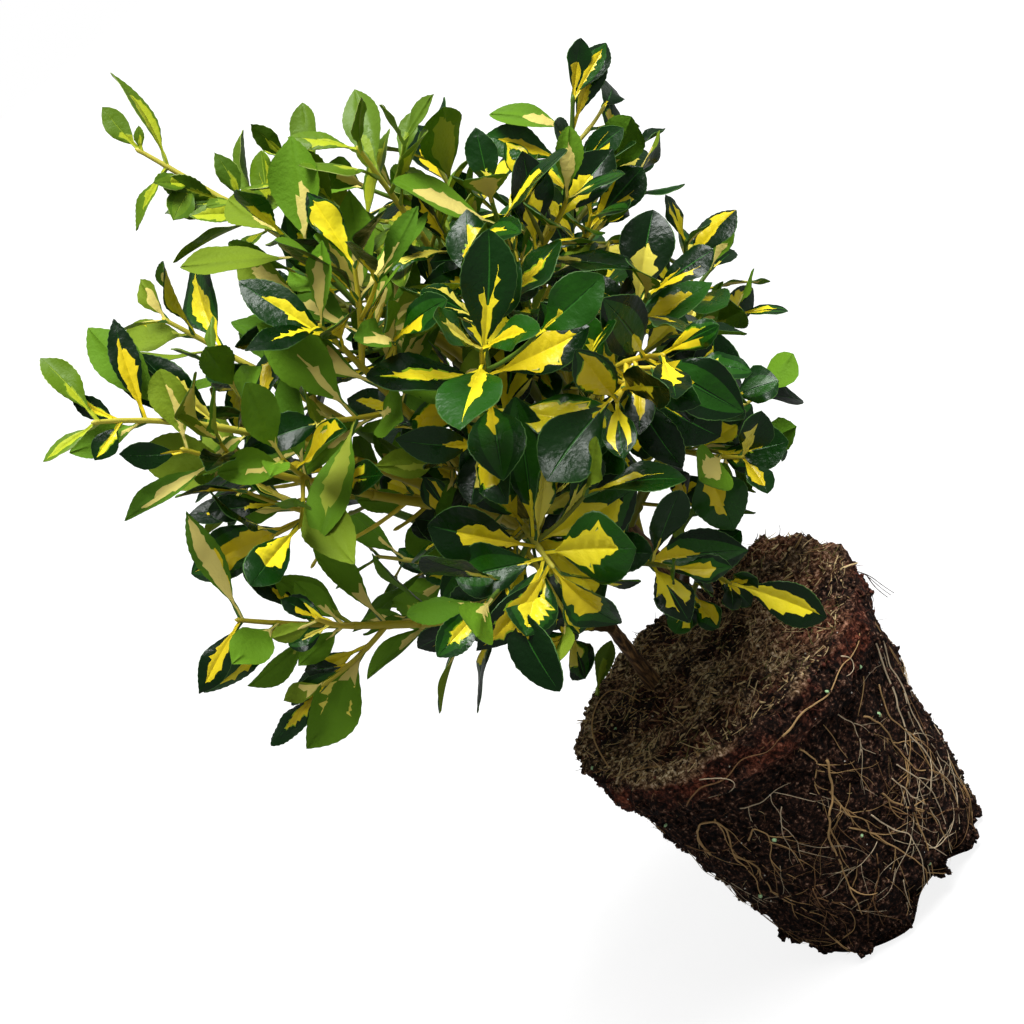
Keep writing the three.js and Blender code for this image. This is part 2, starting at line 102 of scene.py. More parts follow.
# %% [markdown]
# ## Helpers for finishes
# Colours are picked from a photograph as sRGB hex values, but a shader works in linear light.
# One function turns them, and one adds a node with its settings and links, so that each finish
# reads as a short recipe. Two more start a material and give it its skin, because every surface
# of a plant shines unevenly and has a fine relief. The last makes a plain colour for small
# things.

# %% Colours and nodes
def linear(hex_colour):
    """An sRGB hex colour as linear red, green, blue and alpha."""
    shares = [int(hex_colour[i:i + 2], 16) / 255 for i in (1, 3, 5)]
    toe = 0.04045
    return [s / 12.92 if s <= toe else ((s + 0.055) / 1.055) ** 2.4 for s in shares] + [1]


def add_node(tree, kind, inputs=None, stops=(), **settings):
    """Add a shader node, set its properties, and set or link its inputs.
    stops are the (position, hex colour) pairs of a colour ramp."""
    node = tree.nodes.new(f"ShaderNode{kind}")
    for name, value in settings.items():
        setattr(node, name, value)
    for i, (position, hex_colour) in enumerate(stops):
        element = node.color_ramp.elements[i] if i < 2 else node.color_ramp.elements.new(position)
        element.position, element.color = position, linear(hex_colour)
    for name, value in (inputs or {}).items():
        if isinstance(value, bpy.types.NodeSocket):
            tree.links.new(value, node.inputs[name])
        else:
            node.inputs[name].default_value = value
    return node


# %% Starting a finish
def new_finish(name, **inputs):
    """A material with one Principled shader. Returns the material, its tree and the shader."""
    material = bpy.data.materials.new(name)
    material.use_nodes = True
    shader = material.node_tree.nodes["Principled BSDF"]
    for key, value in inputs.items():
        shader.inputs[key.replace("_", " ")].default_value = value
    return material, material.node_tree, shader


def per_mm(size):
    """The scale of a texture in metres whose features are this many millimetres across."""
    return 1 / (size * MM)


# %% Skin
def give_skin(tree, shader, pattern, roughness, strength, depth, patches=None, span=(0.0, 1.0)):
    """Relief from a pattern, this many millimetres deep, and a gloss that varies with the pattern,
    or with patches of its own. roughness holds its values at the low and high end of the span."""
    gloss = add_node(tree, "MapRange", {
        "Value": pattern if patches is None else patches, "From Min": span[0], "From Max": span[1],
        "To Min": roughness[0], "To Max": roughness[1]})
    relief = add_node(tree, "Bump", {"Height": pattern, "Strength": strength, "Distance": depth * MM})
    tree.links.new(gloss.outputs["Result"], shader.inputs["Roughness"])
    tree.links.new(relief.outputs["Normal"], shader.inputs["Normal"])


# %% A plain finish
def plain_finish(name, hex_colour, skin):
    """One colour under a fine grain. The grain's size and depth are in millimetres."""
    material, tree, shader = new_finish(name, Base_Color=linear(hex_colour), IOR=skin["IOR"])
    place = add_node(tree, "TexCoord").outputs["Object"]
    grain = add_node(tree, "TexNoise", {"Vector": place, "Scale": per_mm(skin["grain"]),
                                        "Detail": skin["detail"]}).outputs["Fac"]
    give_skin(tree, shader, grain, skin["roughness"], skin["strength"], skin["depth"])
    return material


# %% [markdown]
# ## Leaf finishes: a waxy cuticle above, a matt skin below
# A spindle leaf is leathery. Its upper side has a thick smooth wax layer, which gives a soft
# clear highlight over dark green and gold. The underside has hardly any wax and stays matt. A
# texture could paint the ragged gold blotch, but the blotch belongs to a place on each leaf. So
# every colour is a finish of its own, and the faces of the blotch get the gold one. Only gloss
# and fine relief, which need no place, come from textures.

# %% Leaf finishes
WAX = {"roughness": (0.22, 0.38), "shine": 0.3, "coat": 0.02, "grain": 2.0, "relief": 0.6}
MATT = {"roughness": (0.56, 0.72), "shine": 0.1, "coat": 0.0, "grain": 1.3, "relief": 0.6}
SOFT = {"roughness": (0.36, 0.52), "shine": 0.22, "coat": 0.02, "grain": 1.6, "relief": 0.5}
LEAF_COLOURS = {
    "wax_deep_green": ("#052303", WAX), "wax_green": ("#0d3406", WAX), "wax_fresh_green": ("#1f500b", WAX),
    "wax_bright_gold": ("#ffec2c", WAX), "wax_gold": ("#e8d020", WAX), "wax_pale_gold": ("#f5e75c", WAX),
    "wax_lime": ("#8fb41c", WAX), "wax_rib": ("#2c661c", WAX),
    "under_green": ("#638d20", MATT), "under_deep_green": ("#50791b", MATT), "under_olive": ("#778f24", MATT),
    "under_cream": ("#e3d376", MATT), "under_lime": ("#acba42", MATT),
    "young_green": ("#5f8015", SOFT), "young_deep_green": ("#4d7012", SOFT), "young_gold": ("#b5c22a", SOFT),
    "young_under": ("#648423", SOFT), "young_rib": ("#8fa92e", SOFT),
    "leaf_edge": ("#4c7236", SOFT), "young_edge": ("#a3b95c", SOFT),
}
GLOSS_PATCH, GLOSS_SPAN = 7, (0.3, 0.7)
CUTICLE_IOR, COAT_ROUGHNESS, CUTICLE_RELIEF = 1.46, 0.22, 0.45


def leaf_finish(name, hex_colour, skin):
    """A plain colour under a skin with uneven gloss and fine relief."""
    material, tree, shader = new_finish(
        name, Base_Color=linear(hex_colour), IOR=CUTICLE_IOR, Specular_IOR_Level=skin["shine"],
        Coat_Weight=skin["coat"], Coat_Roughness=COAT_ROUGHNESS)
    place = add_node(tree, "TexCoord").outputs["Object"]
    patches = add_node(tree, "TexNoise", {"Vector": place, "Scale": per_mm(GLOSS_PATCH), "Detail": 2.0})
    grain = add_node(tree, "TexNoise", {"Vector": place, "Scale": per_mm(skin["grain"]), "Detail": 3.0})
    give_skin(tree, shader, grain.outputs["Fac"], skin["roughness"], skin["relief"], CUTICLE_RELIEF,
              patches=patches.outputs["Fac"], span=GLOSS_SPAN)
    return material


LEAF_FINISHES = [leaf_finish(name, *recipe) for name, recipe in LEAF_COLOURS.items()]
LEAF_FINISH = {name: index for index, name in enumerate(LEAF_COLOURS)}
print("leaf finishes:", len(LEAF_FINISHES))

# %% [markdown]
# ## Bark, from brown wood to golden shoots
# The oldest wood at the soil is brown, with fine lengthwise cracks and tan ridges between them.
# Higher up the bark is young, smooth and olive. The stems blend from one to the other by height,
# with noise that is stretched along the stem, as cracks are.

# %% Bark of the stems
BROWN_BARK = [(0.32, "#20150c"), (0.5, "#5f4429"), (0.68, "#a98352")]
OLIVE_BARK = [(0.3, "#5b5a1c"), (0.55, "#8b8228"), (0.75, "#bba436")]
CRACK_SPACING, CRACK_NARROWING = 1.1, 0.12
TURNS_OLIVE = (195, 245)
WAVER_SIZE, WAVER_HEIGHT = 14, 50


def bark_finish():
    """Brown cracked bark that turns into olive young bark with height."""
    material, tree, shader = new_finish("cracked_brown_bark", IOR=1.45)
    place = add_node(tree, "TexCoord").outputs["Object"]
    stretched = add_node(tree, "Mapping", {"Vector": place, "Scale": (1, 1, CRACK_NARROWING)})
    streaks = add_node(tree, "TexNoise", {
        "Vector": stretched.outputs["Vector"], "Scale": per_mm(CRACK_SPACING), "Detail": 5.0}).outputs["Fac"]
    brown, olive = (add_node(tree, "ValToRGB", {"Fac": streaks}, stops=stops).outputs["Color"]
                    for stops in (BROWN_BARK, OLIVE_BARK))
    height = add_node(tree, "SeparateXYZ", {"Vector": place}).outputs["Z"]
    waver = add_node(tree, "TexNoise", {"Vector": place, "Scale": per_mm(WAVER_SIZE)}).outputs["Fac"]
    wavering = add_node(tree, "Math", {0: waver, 1: WAVER_HEIGHT * MM, 2: height},
                        operation="MULTIPLY_ADD").outputs[0]
    youth = add_node(tree, "MapRange", {"Value": wavering, "From Min": TURNS_OLIVE[0] * MM,
                                        "From Max": TURNS_OLIVE[1] * MM}).outputs["Result"]
    colour = add_node(tree, "Mix", {"Factor": youth, 6: brown, 7: olive}, data_type="RGBA").outputs[2]
    tree.links.new(colour, shader.inputs["Base Color"])
    give_skin(tree, shader, streaks, roughness=(0.85, 0.5), strength=0.6, depth=0.4)
    return material


BARK = bark_finish()
print("bark turns olive at", TURNS_OLIVE, "mm")

# %% [markdown]
# ## Young bark
# A shoot of this year or last is smooth, round and satin, and its colour tells its age: lime at
# the tips, golden like the leaf centres where it is strong, then olive and brown. Each twig gets
# one of these finishes whole, because the colour hardly changes along one twig.

# %% Finishes of twigs
YOUNG_BARK = {"IOR": 1.46, "grain": 1.3, "detail": 3.0, "roughness": (0.38, 0.6), "strength": 0.25,
              "depth": 0.25}
TWIG_COLOURS = {"twig_brown": "#4d3a20", "twig_olive": "#767c24", "twig_gold": "#b9ab2a",
                "twig_pale_gold": "#cfc548", "twig_green": "#5c7c22", "twig_lime": "#93ab34",
                "twig_bright_gold": "#e2cb34"}
TWIG_FINISHES = [plain_finish(name, colour, YOUNG_BARK) for name, colour in TWIG_COLOURS.items()]
TWIG_FINISH = {name: index for index, name in enumerate(TWIG_COLOURS)}
print("twig finishes:", len(TWIG_FINISHES))

# %% [markdown]
# ## Peat, coir and roots
# The pot's filling is moist peat: nearly black crumbs with brown ones between, dull except for a
# few damp sparkles. Round the rim it is mixed with reddish coir, and its top has dried to a
# dusty brown, which is painted lighter than it is to make up for the crown's shade. Towards +X
# the top gives way to the darker peat again: painted shade, where the lamp falls more. These
# zones follow height and side, so the finish reads the place's Z and X, and slow noise makes
# their edges waver. One fine noise gives the crumbs their colour, gloss and relief alike.

# %% Peat finish
PEAT_COLOURS = {
    "side": [(0.4, "#040202"), (0.51, "#251712"), (0.6, "#573b2e"), (0.69, "#b8957d")],
    "coir": [(0.36, "#0c0604"), (0.49, "#4a2419"), (0.6, "#8a4b37"), (0.72, "#bd7f63")],
    # The top's dust colours are painted lighter than they are, to make up for the crown's shade.
    "dry_top_with_painted_light": [(0.38, "#120c07"), (0.47, "#5f4a34"), (0.55, "#b79b72"), (0.63, "#fff0cc")],
}
CRUMB_GRAIN, ZONE_SIZE, ZONE_WAVER, PATCH_SPAN = 1.7, 22, 26, (0.42, 0.56)
# Where the top's dusty colour starts, and its painted shade: it fades to a share from 8 to 40 mm in X.
COIR_FROM, PAINTED_LIGHT_TOP_FROM, PAINTED_SHADE_SPAN, PAINTED_SHADE_SHARE = (8, 18), (11, 17), (8, 40), 0.22


def peat_finish(soil_height, lip_height):
    """Crumbly peat: redder at the rim, dry and painted lighter on top, painted shade towards +X."""
    material, tree, shader = new_finish("moist_peat", IOR=1.4, Specular_IOR_Level=0.15)
    place = add_node(tree, "TexCoord").outputs["Object"]
    crumbs = add_node(tree, "TexNoise", {"Vector": place, "Scale": per_mm(CRUMB_GRAIN), "Detail": 6.0,
                                         "Roughness": 0.65}).outputs["Fac"]
    zones = add_node(tree, "TexNoise", {"Vector": place, "Scale": per_mm(ZONE_SIZE),
                                        "Detail": 2.0}).outputs["Fac"]
    axes = add_node(tree, "SeparateXYZ", {"Vector": place}).outputs
    side, coir, dry_top_with_painted_light = (add_node(tree, "ValToRGB", {"Fac": crumbs}, stops=stops).outputs["Color"]
                       for stops in PEAT_COLOURS.values())
    shifted = add_node(tree, "Math", {0: zones, 1: ZONE_WAVER * MM, 2: axes["Z"]},
                       operation="MULTIPLY_ADD").outputs[0]
    limits = [(base + above[0], base + above[1])
              for base, above in ((lip_height, COIR_FROM), (soil_height, PAINTED_LIGHT_TOP_FROM))]
    near_rim, on_top = (add_node(tree, "MapRange", {"Value": shifted, "From Min": low * MM,
                                                    "From Max": high * MM}).outputs["Result"]
                        for low, high in limits)
    # Painted shade: towards +X, where the lamp falls more, the top's dust gives way to darker peat.
    painted_shade_fade = add_node(tree, "MapRange", {
        "Value": axes["X"], "From Min": PAINTED_SHADE_SPAN[0] * MM, "From Max": PAINTED_SHADE_SPAN[1] * MM,
        "To Min": 1.0, "To Max": PAINTED_SHADE_SHARE}).outputs["Result"]
    patches = add_node(tree, "MapRange", {"Value": zones, "From Min": PATCH_SPAN[0],
                                          "From Max": PATCH_SPAN[1]}).outputs["Result"]
    reddened, dry_share_after_painted_shade = (add_node(tree, "Math", {0: zone, 1: share}, operation="MULTIPLY").outputs[0]
                       for zone, share in ((near_rim, patches), (on_top, painted_shade_fade)))
    mixed = add_node(tree, "Mix", {"Factor": reddened, 6: side, 7: coir}, data_type="RGBA").outputs[2]
    mixed = add_node(tree, "Mix", {"Factor": dry_share_after_painted_shade, 6: mixed, 7: dry_top_with_painted_light}, data_type="RGBA").outputs[2]
    tree.links.new(mixed, shader.inputs["Base Color"])
    give_skin(tree, shader, crumbs, roughness=(0.55, 0.95), strength=1.0, depth=1.6, span=(0.3, 0.6))
    return material


# %% [markdown]
# ## Roots, coir and grit
# Fibres are dry, dull and pale where they are young. The slow plant food is a resin bead of pale
# green, and the grit is white perlite. They are so small that a plain colour with a fine grain
# gives all that the eye can see of them.

# %% Finishes of roots, fibres and grit
DRY_FIBRE = {"IOR": 1.42, "grain": 1.0, "detail": 4.0, "roughness": (0.5, 0.85), "strength": 0.4,
             "depth": 0.2}
# The dust and moss colours are painted lighter than they are, to make up for the crown's shade on the top.
FIBRE_COLOURS = {"root_tan": "#b5915f", "root_pale": "#cfbb9a", "root_brown": "#85613c",
                 "fibre_dust": "#d8bd8a", "fibre_moss": "#6b6534", "fibre_dark": "#2a1d14",
                 "coir_red": "#5e2c1c", "feed_bead": "#a9cf98", "white_grit": "#d9d4c6"}
FIBRE_FINISHES = [plain_finish(name, colour, DRY_FIBRE) for name, colour in FIBRE_COLOURS.items()]
FIBRE_FINISH = {name: index for index, name in enumerate(FIBRE_COLOURS)}
print("fibre finishes:", len(FIBRE_FINISHES))

# %% [markdown]
# ## Joining many small shapes into one mesh
# A shrub has hundreds of leaves and twigs. As separate objects they would be slow and hard to
# handle, so each kind is collected as arrays of points, triangles and finish numbers, and made
# into one mesh at the end. Filling a mesh from arrays is by far the quickest way Blender has.

# %% Collecting and joining meshes
class Heap:
    """Points, triangles and finishes of many small shapes, which become one piece."""

    def __init__(self):
        self.points, self.triangles, self.finishes = [], [], []
        self.count = 0

    def add(self, points, triangles, finishes):
        """Add a shape, with one finish or one for each triangle."""
        points = np.asarray(points, float).reshape(-1, 3)
        self.points.append(points)
        self.triangles.append(np.asarray(triangles) + self.count)
        self.finishes.append(np.broadcast_to(finishes, len(triangles)))
        self.count += len(points)

    def make(self, name, materials, slot, replaced):
        """Make the piece, in metres, fix it to the root body, and hide the plain parts it replaces."""
        mesh = bpy.data.meshes.new(name)
        points = np.concatenate(self.points) * MM
        triangles = np.concatenate(self.triangles)
        mesh.vertices.add(len(points))
        mesh.vertices.foreach_set("co", points.ravel().astype(np.float32))
        mesh.loops.add(triangles.size)
        mesh.loops.foreach_set("vertex_index", triangles.ravel().astype(np.int32))
        mesh.polygons.add(len(triangles))
        mesh.polygons.foreach_set("loop_start", np.arange(0, triangles.size, 3, dtype=np.int32))
        for material in materials:
            mesh.materials.append(material)
        mesh.polygons.foreach_set("material_index", np.concatenate(self.finishes).astype(np.int32))
        mesh.polygons.foreach_set("use_smooth", np.ones(len(triangles), bool))
        mesh.update()
        mesh.validate()
        piece = bpy.data.objects.new(name, mesh)
        bpy.context.scene.collection.objects.link(piece)
        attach(piece, "root")
        if replaced:
            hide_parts(*replaced)
        print(f"{name}: {len(triangles)} triangles")


# %% [markdown]
# ## Grids and tubes
# Two kinds of surface make the whole plant. A leaf's face is a grid of points with two triangles
# in each cell. A twig, a stem or a root is a tube: rings of points along a line, with a cap at
# both ends. Each ring takes its side direction from the ring before, so a bent tube isn't
# twisted.

# %% Triangles of grids and rings
def grid_triangles(rows, columns):
    """Two triangles for each cell of a grid of points that has one more row and column."""
    row, column = np.mgrid[0:rows, 0:columns]
    corner = (row * (columns + 1) + column).ravel()
    above = corner + columns + 1
    cells = np.stack([corner, corner + 1, above + 1, corner, above + 1, above], 1)
    return cells.reshape(-1, 3)


def ring_triangles(rows, sides):
    """Two triangles for each cell between closed rings of points, one ring more than the rows."""
    ring, k = np.mgrid[0:rows, 0:sides]
    here = (ring * sides + k).ravel()
    after = (ring * sides + (k + 1) % sides).ravel()
    return np.stack([here, after, after + sides, here, after + sides, here + sides], 1).reshape(-1, 3)


# %% Tubes
def tube(points, radii, sides):
    """A closed tube round a line of points. radii holds one radius or one ring of radii a point."""
    points = np.asarray(points, float)
    count = len(points)
    radii = np.asarray(radii, float).reshape(count, -1) * np.ones(sides)
    along = np.gradient(points, axis=0)
    along /= np.linalg.norm(along, axis=1, keepdims=True)
    side = np.cross(along[0], (0, 0, 1) if abs(along[0][2]) < 0.8 else (1, 0, 0))
    sideways = []
    for direction in along:
        side = side - direction * side.dot(direction)
        side /= np.linalg.norm(side)
        sideways.append(side)
    sideways = np.array(sideways)
    across = np.cross(along, sideways)
    turn = np.arange(sides) * 2 * math.pi / sides
    rings = sideways[:, None] * np.cos(turn)[:, None] + across[:, None] * np.sin(turn)[:, None]
    rings = points[:, None] + rings * radii[..., None]
    foot, tip = count * sides, count * sides + 1
    k, last = np.arange(sides), (count - 1) * sides
    caps = [np.stack([np.full(sides, foot), (k + 1) % sides, k], 1),
            np.stack([np.full(sides, tip), last + k, last + (k + 1) % sides], 1)]
    triangles = np.vstack([ring_triangles(count - 1, sides), *caps])
    return np.vstack([rings.reshape(-1, 3), points[:1], points[-1:]]), triangles


# %% [markdown]
# ## The growth rule
# The solids in the frame were grown by a rule, and the same rule is written here, so that real
# leaves land where the plain ones are. Each shoot is one curve: its lower part is a bare bough
# and its upper part a leafy twig. Leaves sit in pairs, and each pair is turned a quarter from
# the one below, as on the real plant.

# %% Sizes
SOIL_HEIGHT = 118
LIP_HEIGHT = 105
GAP = 0.3
BOUGH_FOOT_RADIUS, BOUGH_TIP_RADIUS = 2.1, 1.55
TWIG_FOOT_RADIUS, SHOOT_TIP_RADIUS = 1.1, 0.75
STEM_STEPS, BOUGH_STEPS, SHOOT_STEPS, TWIG_STEPS = 9, 3, 3, 2
STEMS = {
    "stem_left": {"foot": (-22, 21), "top": (-16, -20, 276), "radii": (2.5, 1.6)},
    "stem_right": {"foot": (11, 38), "top": (3, 4, 288), "radii": (3.3, 1.6)},
}
FLARE, FLARE_LENGTH = 0.45, 7
USUAL = {"rise": 0.04, "bare": 0.48, "open": 60, "size": 1, "twigs": 2}
NODE_SPACING, FEWEST_NODES = 12, 3


# %% Where each shoot goes
LEFT, RIGHT = STEMS


def row_of(parent, at, *tip, **unusual):
    """Where a shoot leaves its parent, its tip as azimuth, reach and height, and its habits."""
    return {**USUAL, "parent": parent, "at": at, "tip": tip, **unusual}


SHOOTS = {
    "top_left": row_of(LEFT, 1, -125, 36, 348, bare=0, open=55, size=0.95, twigs=1),
    "high_left": row_of(RIGHT, 1, 112, 8, 360, bare=0, open=50, size=0.8),
    "far_left": row_of(LEFT, 0.52, -150, 118, 344, rise=0.1, bare=0.42, open=52, size=0.85, twigs=1),
    "right_top": row_of(RIGHT, 0.5, 2, 86, 314, rise=0.02, open=52, size=0.92),
    "high_left_tip": row_of(RIGHT, 0.8, 140, 52, 392, open=55, size=0.78, twigs=1),
    "high_middle": row_of("right_top", 0.12, -40, 22, 350, rise=0, open=50, size=0.8, twigs=1),
    "high_back": row_of("right_top", 0.35, 46, 56, 322, rise=0, bare=0.4, open=48, size=0.92),
    "right_back": row_of(RIGHT, 0.4, 20, 100, 226, rise=0.06, size=0.92),
    "right_middle": row_of(RIGHT, 0.31, -18, 66, 202, rise=0.06, bare=0.4, open=66),
    "right_low": row_of(RIGHT, 0.17, 36, 56, 158, rise=0.08, bare=0.35, size=0.82),
    "left_back": row_of(LEFT, 0.46, 168, 72, 344, bare=0.52, open=52, size=0.95, twigs=1),
    "left_front": row_of("far_left", 0.3, -150, 102, 318, rise=-0.04, bare=0.42, open=55),
    "low_left": row_of(LEFT, 0.33, -158, 122, 262, rise=-0.06, bare=0.55, open=52),
    "low_middle": row_of(LEFT, 0.24, 178, 74, 208, rise=0.02, bare=0.38),
    "low_centre": row_of(LEFT, 0.2, -142, 46, 176, rise=0.05, bare=0.36, size=0.92),
    "front_rosette": row_of(LEFT, 0.48, -104, 94, 223, rise=0.16, bare=0.4, open=78, size=1.08),
    "right_rosette": row_of(RIGHT, 0.47, -61, 95, 250, rise=0.12, open=76),
    "basal": row_of(RIGHT, 0.08, -62, 44, 156, rise=0.12, open=66, size=0.8, twigs=1),
    "centre_left": row_of("far_left", 0.12, -116, 68, 322, rise=0.03),
    "top_middle": row_of("right_rosette", 0.2, -47, 56, 314, rise=0.03, size=0.95),
    "centre_front": row_of(LEFT, 0.42, -88, 88, 290, rise=0.08, open=70),
    "right_front": row_of("right_rosette", 0.3, -36, 73, 256, bare=0.4, open=68),
    "low_front": row_of(LEFT, 0.3, -84, 66, 186, rise=0.1, bare=0.4, open=74, size=0.95),
    "back_low_right": row_of(RIGHT, 0.26, 62, 98, 200, rise=0.06, bare=0.4, twigs=1),
    "back_high_right": row_of(RIGHT, 0.45, 52, 88, 276, rise=0, size=0.95, twigs=1),
    "back_middle": row_of(RIGHT, 0.36, 96, 104, 236, bare=0.45, twigs=1),
    "back_low_left": row_of(LEFT, 0.29, 138, 98, 214, bare=0.42, twigs=1),
    "back_high_left": row_of(LEFT, 0.39, 150, 98, 286, rise=-0.02, size=0.95, twigs=1),
    "back_top": row_of(RIGHT, 0.6, 98, 72, 314, rise=-0.02, bare=0.45, size=0.95, twigs=1),
}
YOUNG_SHOOTS = ("high_left", "high_left_tip", "high_middle", "far_left")
print("shoots:", len(SHOOTS))

# %% [markdown]
# ## Chance that repeats, and curves
# The draws come from the simplest generator there is, one multiplication and one sum a draw, so
# that the frame's solids and this script draw the same numbers each time. A shoot is a curve
# with three points, because it leaves its parent one way and then turns up to the light. A stop
# on it also has a side direction, which tells where a leaf there points.

# %% Draws
def mix(low, high, share):
    """The value at a share of the way from low to high."""
    return low + (high - low) * share


def draws(seed):
    """The same endless stream of numbers from 0 to 1 for the same seed."""
    word = 2 ** 32
    state = (seed * 7919 + 12345) % word
    while True:
        state = (state * 1664525 + 1013904223) % word
        yield state / word


# %% Curves
class Curve:
    """A curve that leaves its foot towards a bend and arrives at its tip."""

    def __init__(self, foot, bend, tip):
        self.foot, self.bend, self.tip = foot, bend, tip

    def point(self, share):
        """The point at a share of the way."""
        rest = 1 - share
        return self.foot * rest ** 2 + self.bend * (2 * rest * share) + self.tip * share ** 2

    def along(self, share):
        """The curve's direction there."""
        return (self.bend - self.foot).lerp(self.tip - self.bend, share).normalized()


def polar(azimuth, reach, height):
    """A point from its azimuth in degrees, its distance from the plant's axis and its height."""
    turn = math.radians(azimuth)
    return Vector((reach * math.cos(turn), reach * math.sin(turn), height))


# %% Stops on a limb
SHORTEST_SIDE = 0.2


def stop(point, along, side):
    """A place on a limb: its point, the limb's direction, and a direction to one side."""
    return SimpleNamespace(point=point, along=along, side=side)


def walk(curve, start, end, steps):
    """Stops along a curve, with a side direction that is carried along without twisting."""
    stops = []
    side = Vector((0, 0, 1))
    for i in range(steps + 1):
        share = mix(start, end, i / steps)
        along = curve.along(share)
        side = side - along * side.dot(along)
        if side.length < SHORTEST_SIDE:
            side = along.cross(Vector((1, 0, 0)))
        side.normalize()
        stops.append(stop(curve.point(share), along, side))
    return stops


def stop_at(stops, share):
    """The stop at a share of the way along straight steps between stops."""
    reach = share * (len(stops) - 1)
    step = min(int(reach), len(stops) - 2)
    one, after = stops[step], stops[step + 1]
    along = one.along.lerp(after.along, reach - step).normalized()
    side = one.side.lerp(after.side, reach - step)
    side = (side - along * side.dot(along)).normalized()
    return stop(one.point.lerp(after.point, reach - step), along, side)


# %% [markdown]
# ## Stems, boughs and leafy axes
# The two stems come first. Every shoot then leaves a stem or an earlier shoot at a share of its
# length, arches by its rise, and is cut in two: a bare bough, and a leafy axis with a node about
# every 12 mm. A shoot with no bare part goes straight on from the tip of its stem.

# %% Stems
def make_limb(name, curve, start, end, radii, **more):
    """A length of a curve, with a radius at each of its stops."""
    return SimpleNamespace(name=name, curve=curve, start=start, end=end, radii=radii,
                           stops=walk(curve, start, end, len(radii) - 1), **more)


def flared(stem, share, length):
    """A stem's radius at a share of its length, with the flare at its foot."""
    return mix(*stem["radii"], share) * (1 + FLARE * math.exp(-share * length / FLARE_LENGTH))


limbs = {}
for name, stem in STEMS.items():
    foot = Vector((*stem["foot"], SOIL_HEIGHT + GAP))
    top = Vector(stem["top"])
    radii = [flared(stem, i / STEM_STEPS, top.z - foot.z) for i in range(STEM_STEPS + 1)]
    limbs[name] = make_limb(name, Curve(foot, foot.lerp(top, 0.5), top), 0, 1, radii)


# %% Growing a shoot
def taper(first, last, steps):
    """Radii at even steps from the first to the last."""
    return [mix(first, last, i / steps) for i in range(steps + 1)]


def grow_shoot(index, name, row):
    """The curve of a shoot, with its bare bough and its leafy axis."""
    shoot = SimpleNamespace(name=name, index=index, draw=draws(index + 1), **row)
    parent = limbs[shoot.parent]
    foot = parent.curve.point(shoot.at * parent.end)
    tip = polar(*shoot.tip)
    length = (tip - foot).length
    bend = foot.lerp(tip, 0.5) + Vector((0, 0, 2 * shoot.rise * length))
    if shoot.bare == 0:
        onward = parent.curve.along(1)
        bend = foot + onward * length / 2
        foot = foot + onward * GAP
    curve = Curve(foot, bend, tip)
    nodes = max(FEWEST_NODES, math.floor((1 - shoot.bare) * length / NODE_SPACING + 0.5))
    bough_radii = taper(BOUGH_FOOT_RADIUS, BOUGH_TIP_RADIUS, BOUGH_STEPS)
    axis_radii = taper(BOUGH_TIP_RADIUS, SHOOT_TIP_RADIUS, SHOOT_STEPS)
    limbs[name] = make_limb(name, curve, 0, shoot.bare, bough_radii)
    shoot.grown_twigs = [make_limb(f"axis_{name}", curve, shoot.bare, 1, axis_radii, nodes=nodes,
                                   phase=next(shoot.draw) * 90, shed=set())]
    return shoot


shoots = [grow_shoot(index, name, row) for index, (name, row) in enumerate(SHOOTS.items())]
print("limbs:", len(limbs), "shoots:", len(shoots))

# %% [markdown]
# ## Keeping leaves out of each other
# Two leaves can't be in one place. Each grown thing takes a simple room, a coarse closed shape a
# little larger than itself, and a search tree on its faces tells quickly whether a new one would
# cut it. A leaf must also stay where its own shoot is the nearest one, so that no mass grows
# through another.

# %% Rooms
PRISM_SIDES, PRISM_SWELL = 6, 1.1
PRISM_FACES = [face for i in range(PRISM_SIDES) for face in (
    (i, (i + 1) % PRISM_SIDES, PRISM_SIDES + i),
    ((i + 1) % PRISM_SIDES, PRISM_SIDES + (i + 1) % PRISM_SIDES, PRISM_SIDES + i))]
LEAF_FACES = [(0, 6, 1), (0, 2, 6), (1, 6, 3), (2, 4, 6), (3, 6, 5), (4, 5, 6),
              (0, 1, 7), (0, 7, 2), (1, 3, 7), (2, 7, 4), (3, 5, 7), (4, 7, 5)]


def room(corners, faces, owner, node=None):
    """A closed shape, the ball round it, and a search tree of its faces."""
    middle = sum(corners, Vector()) / len(corners)
    radius = max((corner - middle).length for corner in corners)
    tree = BVHTree.FromPolygons(corners, faces)
    return SimpleNamespace(corners=corners, middle=middle, radius=radius, tree=tree, owner=owner, node=node)


def limb_rooms(limb, gap=GAP):
    """One open prism for each step of a limb, wider by the gap."""
    rings = []
    for place, radius in zip(limb.stops, limb.radii):
        across = place.along.cross(place.side)
        wide = (radius + gap) * PRISM_SWELL
        turns = [2 * math.pi * k / PRISM_SIDES for k in range(PRISM_SIDES)]
        rings.append([place.point + (place.side * math.cos(turn) + across * math.sin(turn)) * wide
                      for turn in turns])
    return [room(one + after, PRISM_FACES, limb.name) for one, after in zip(rings, rings[1:])]


# %% Space that is taken
class Space:
    """The rooms taken so far, and the balls round them, which are quick to compare."""

    def __init__(self):
        self.rooms, self.spheres = [], np.empty((0, 4))

    def take(self, rooms):
        """Take these rooms."""
        self.rooms += rooms
        self.spheres = np.vstack([self.spheres, [(*one.middle, one.radius) for one in rooms]])

    def touched(self, new):
        """The rooms that a new one would touch."""
        apart = np.linalg.norm(self.spheres[:, :3] - new.middle, axis=1)
        for index in np.flatnonzero(apart <= self.spheres[:, 3] + new.radius):
            if new.tree.overlap(self.rooms[index].tree):
                yield self.rooms[index]


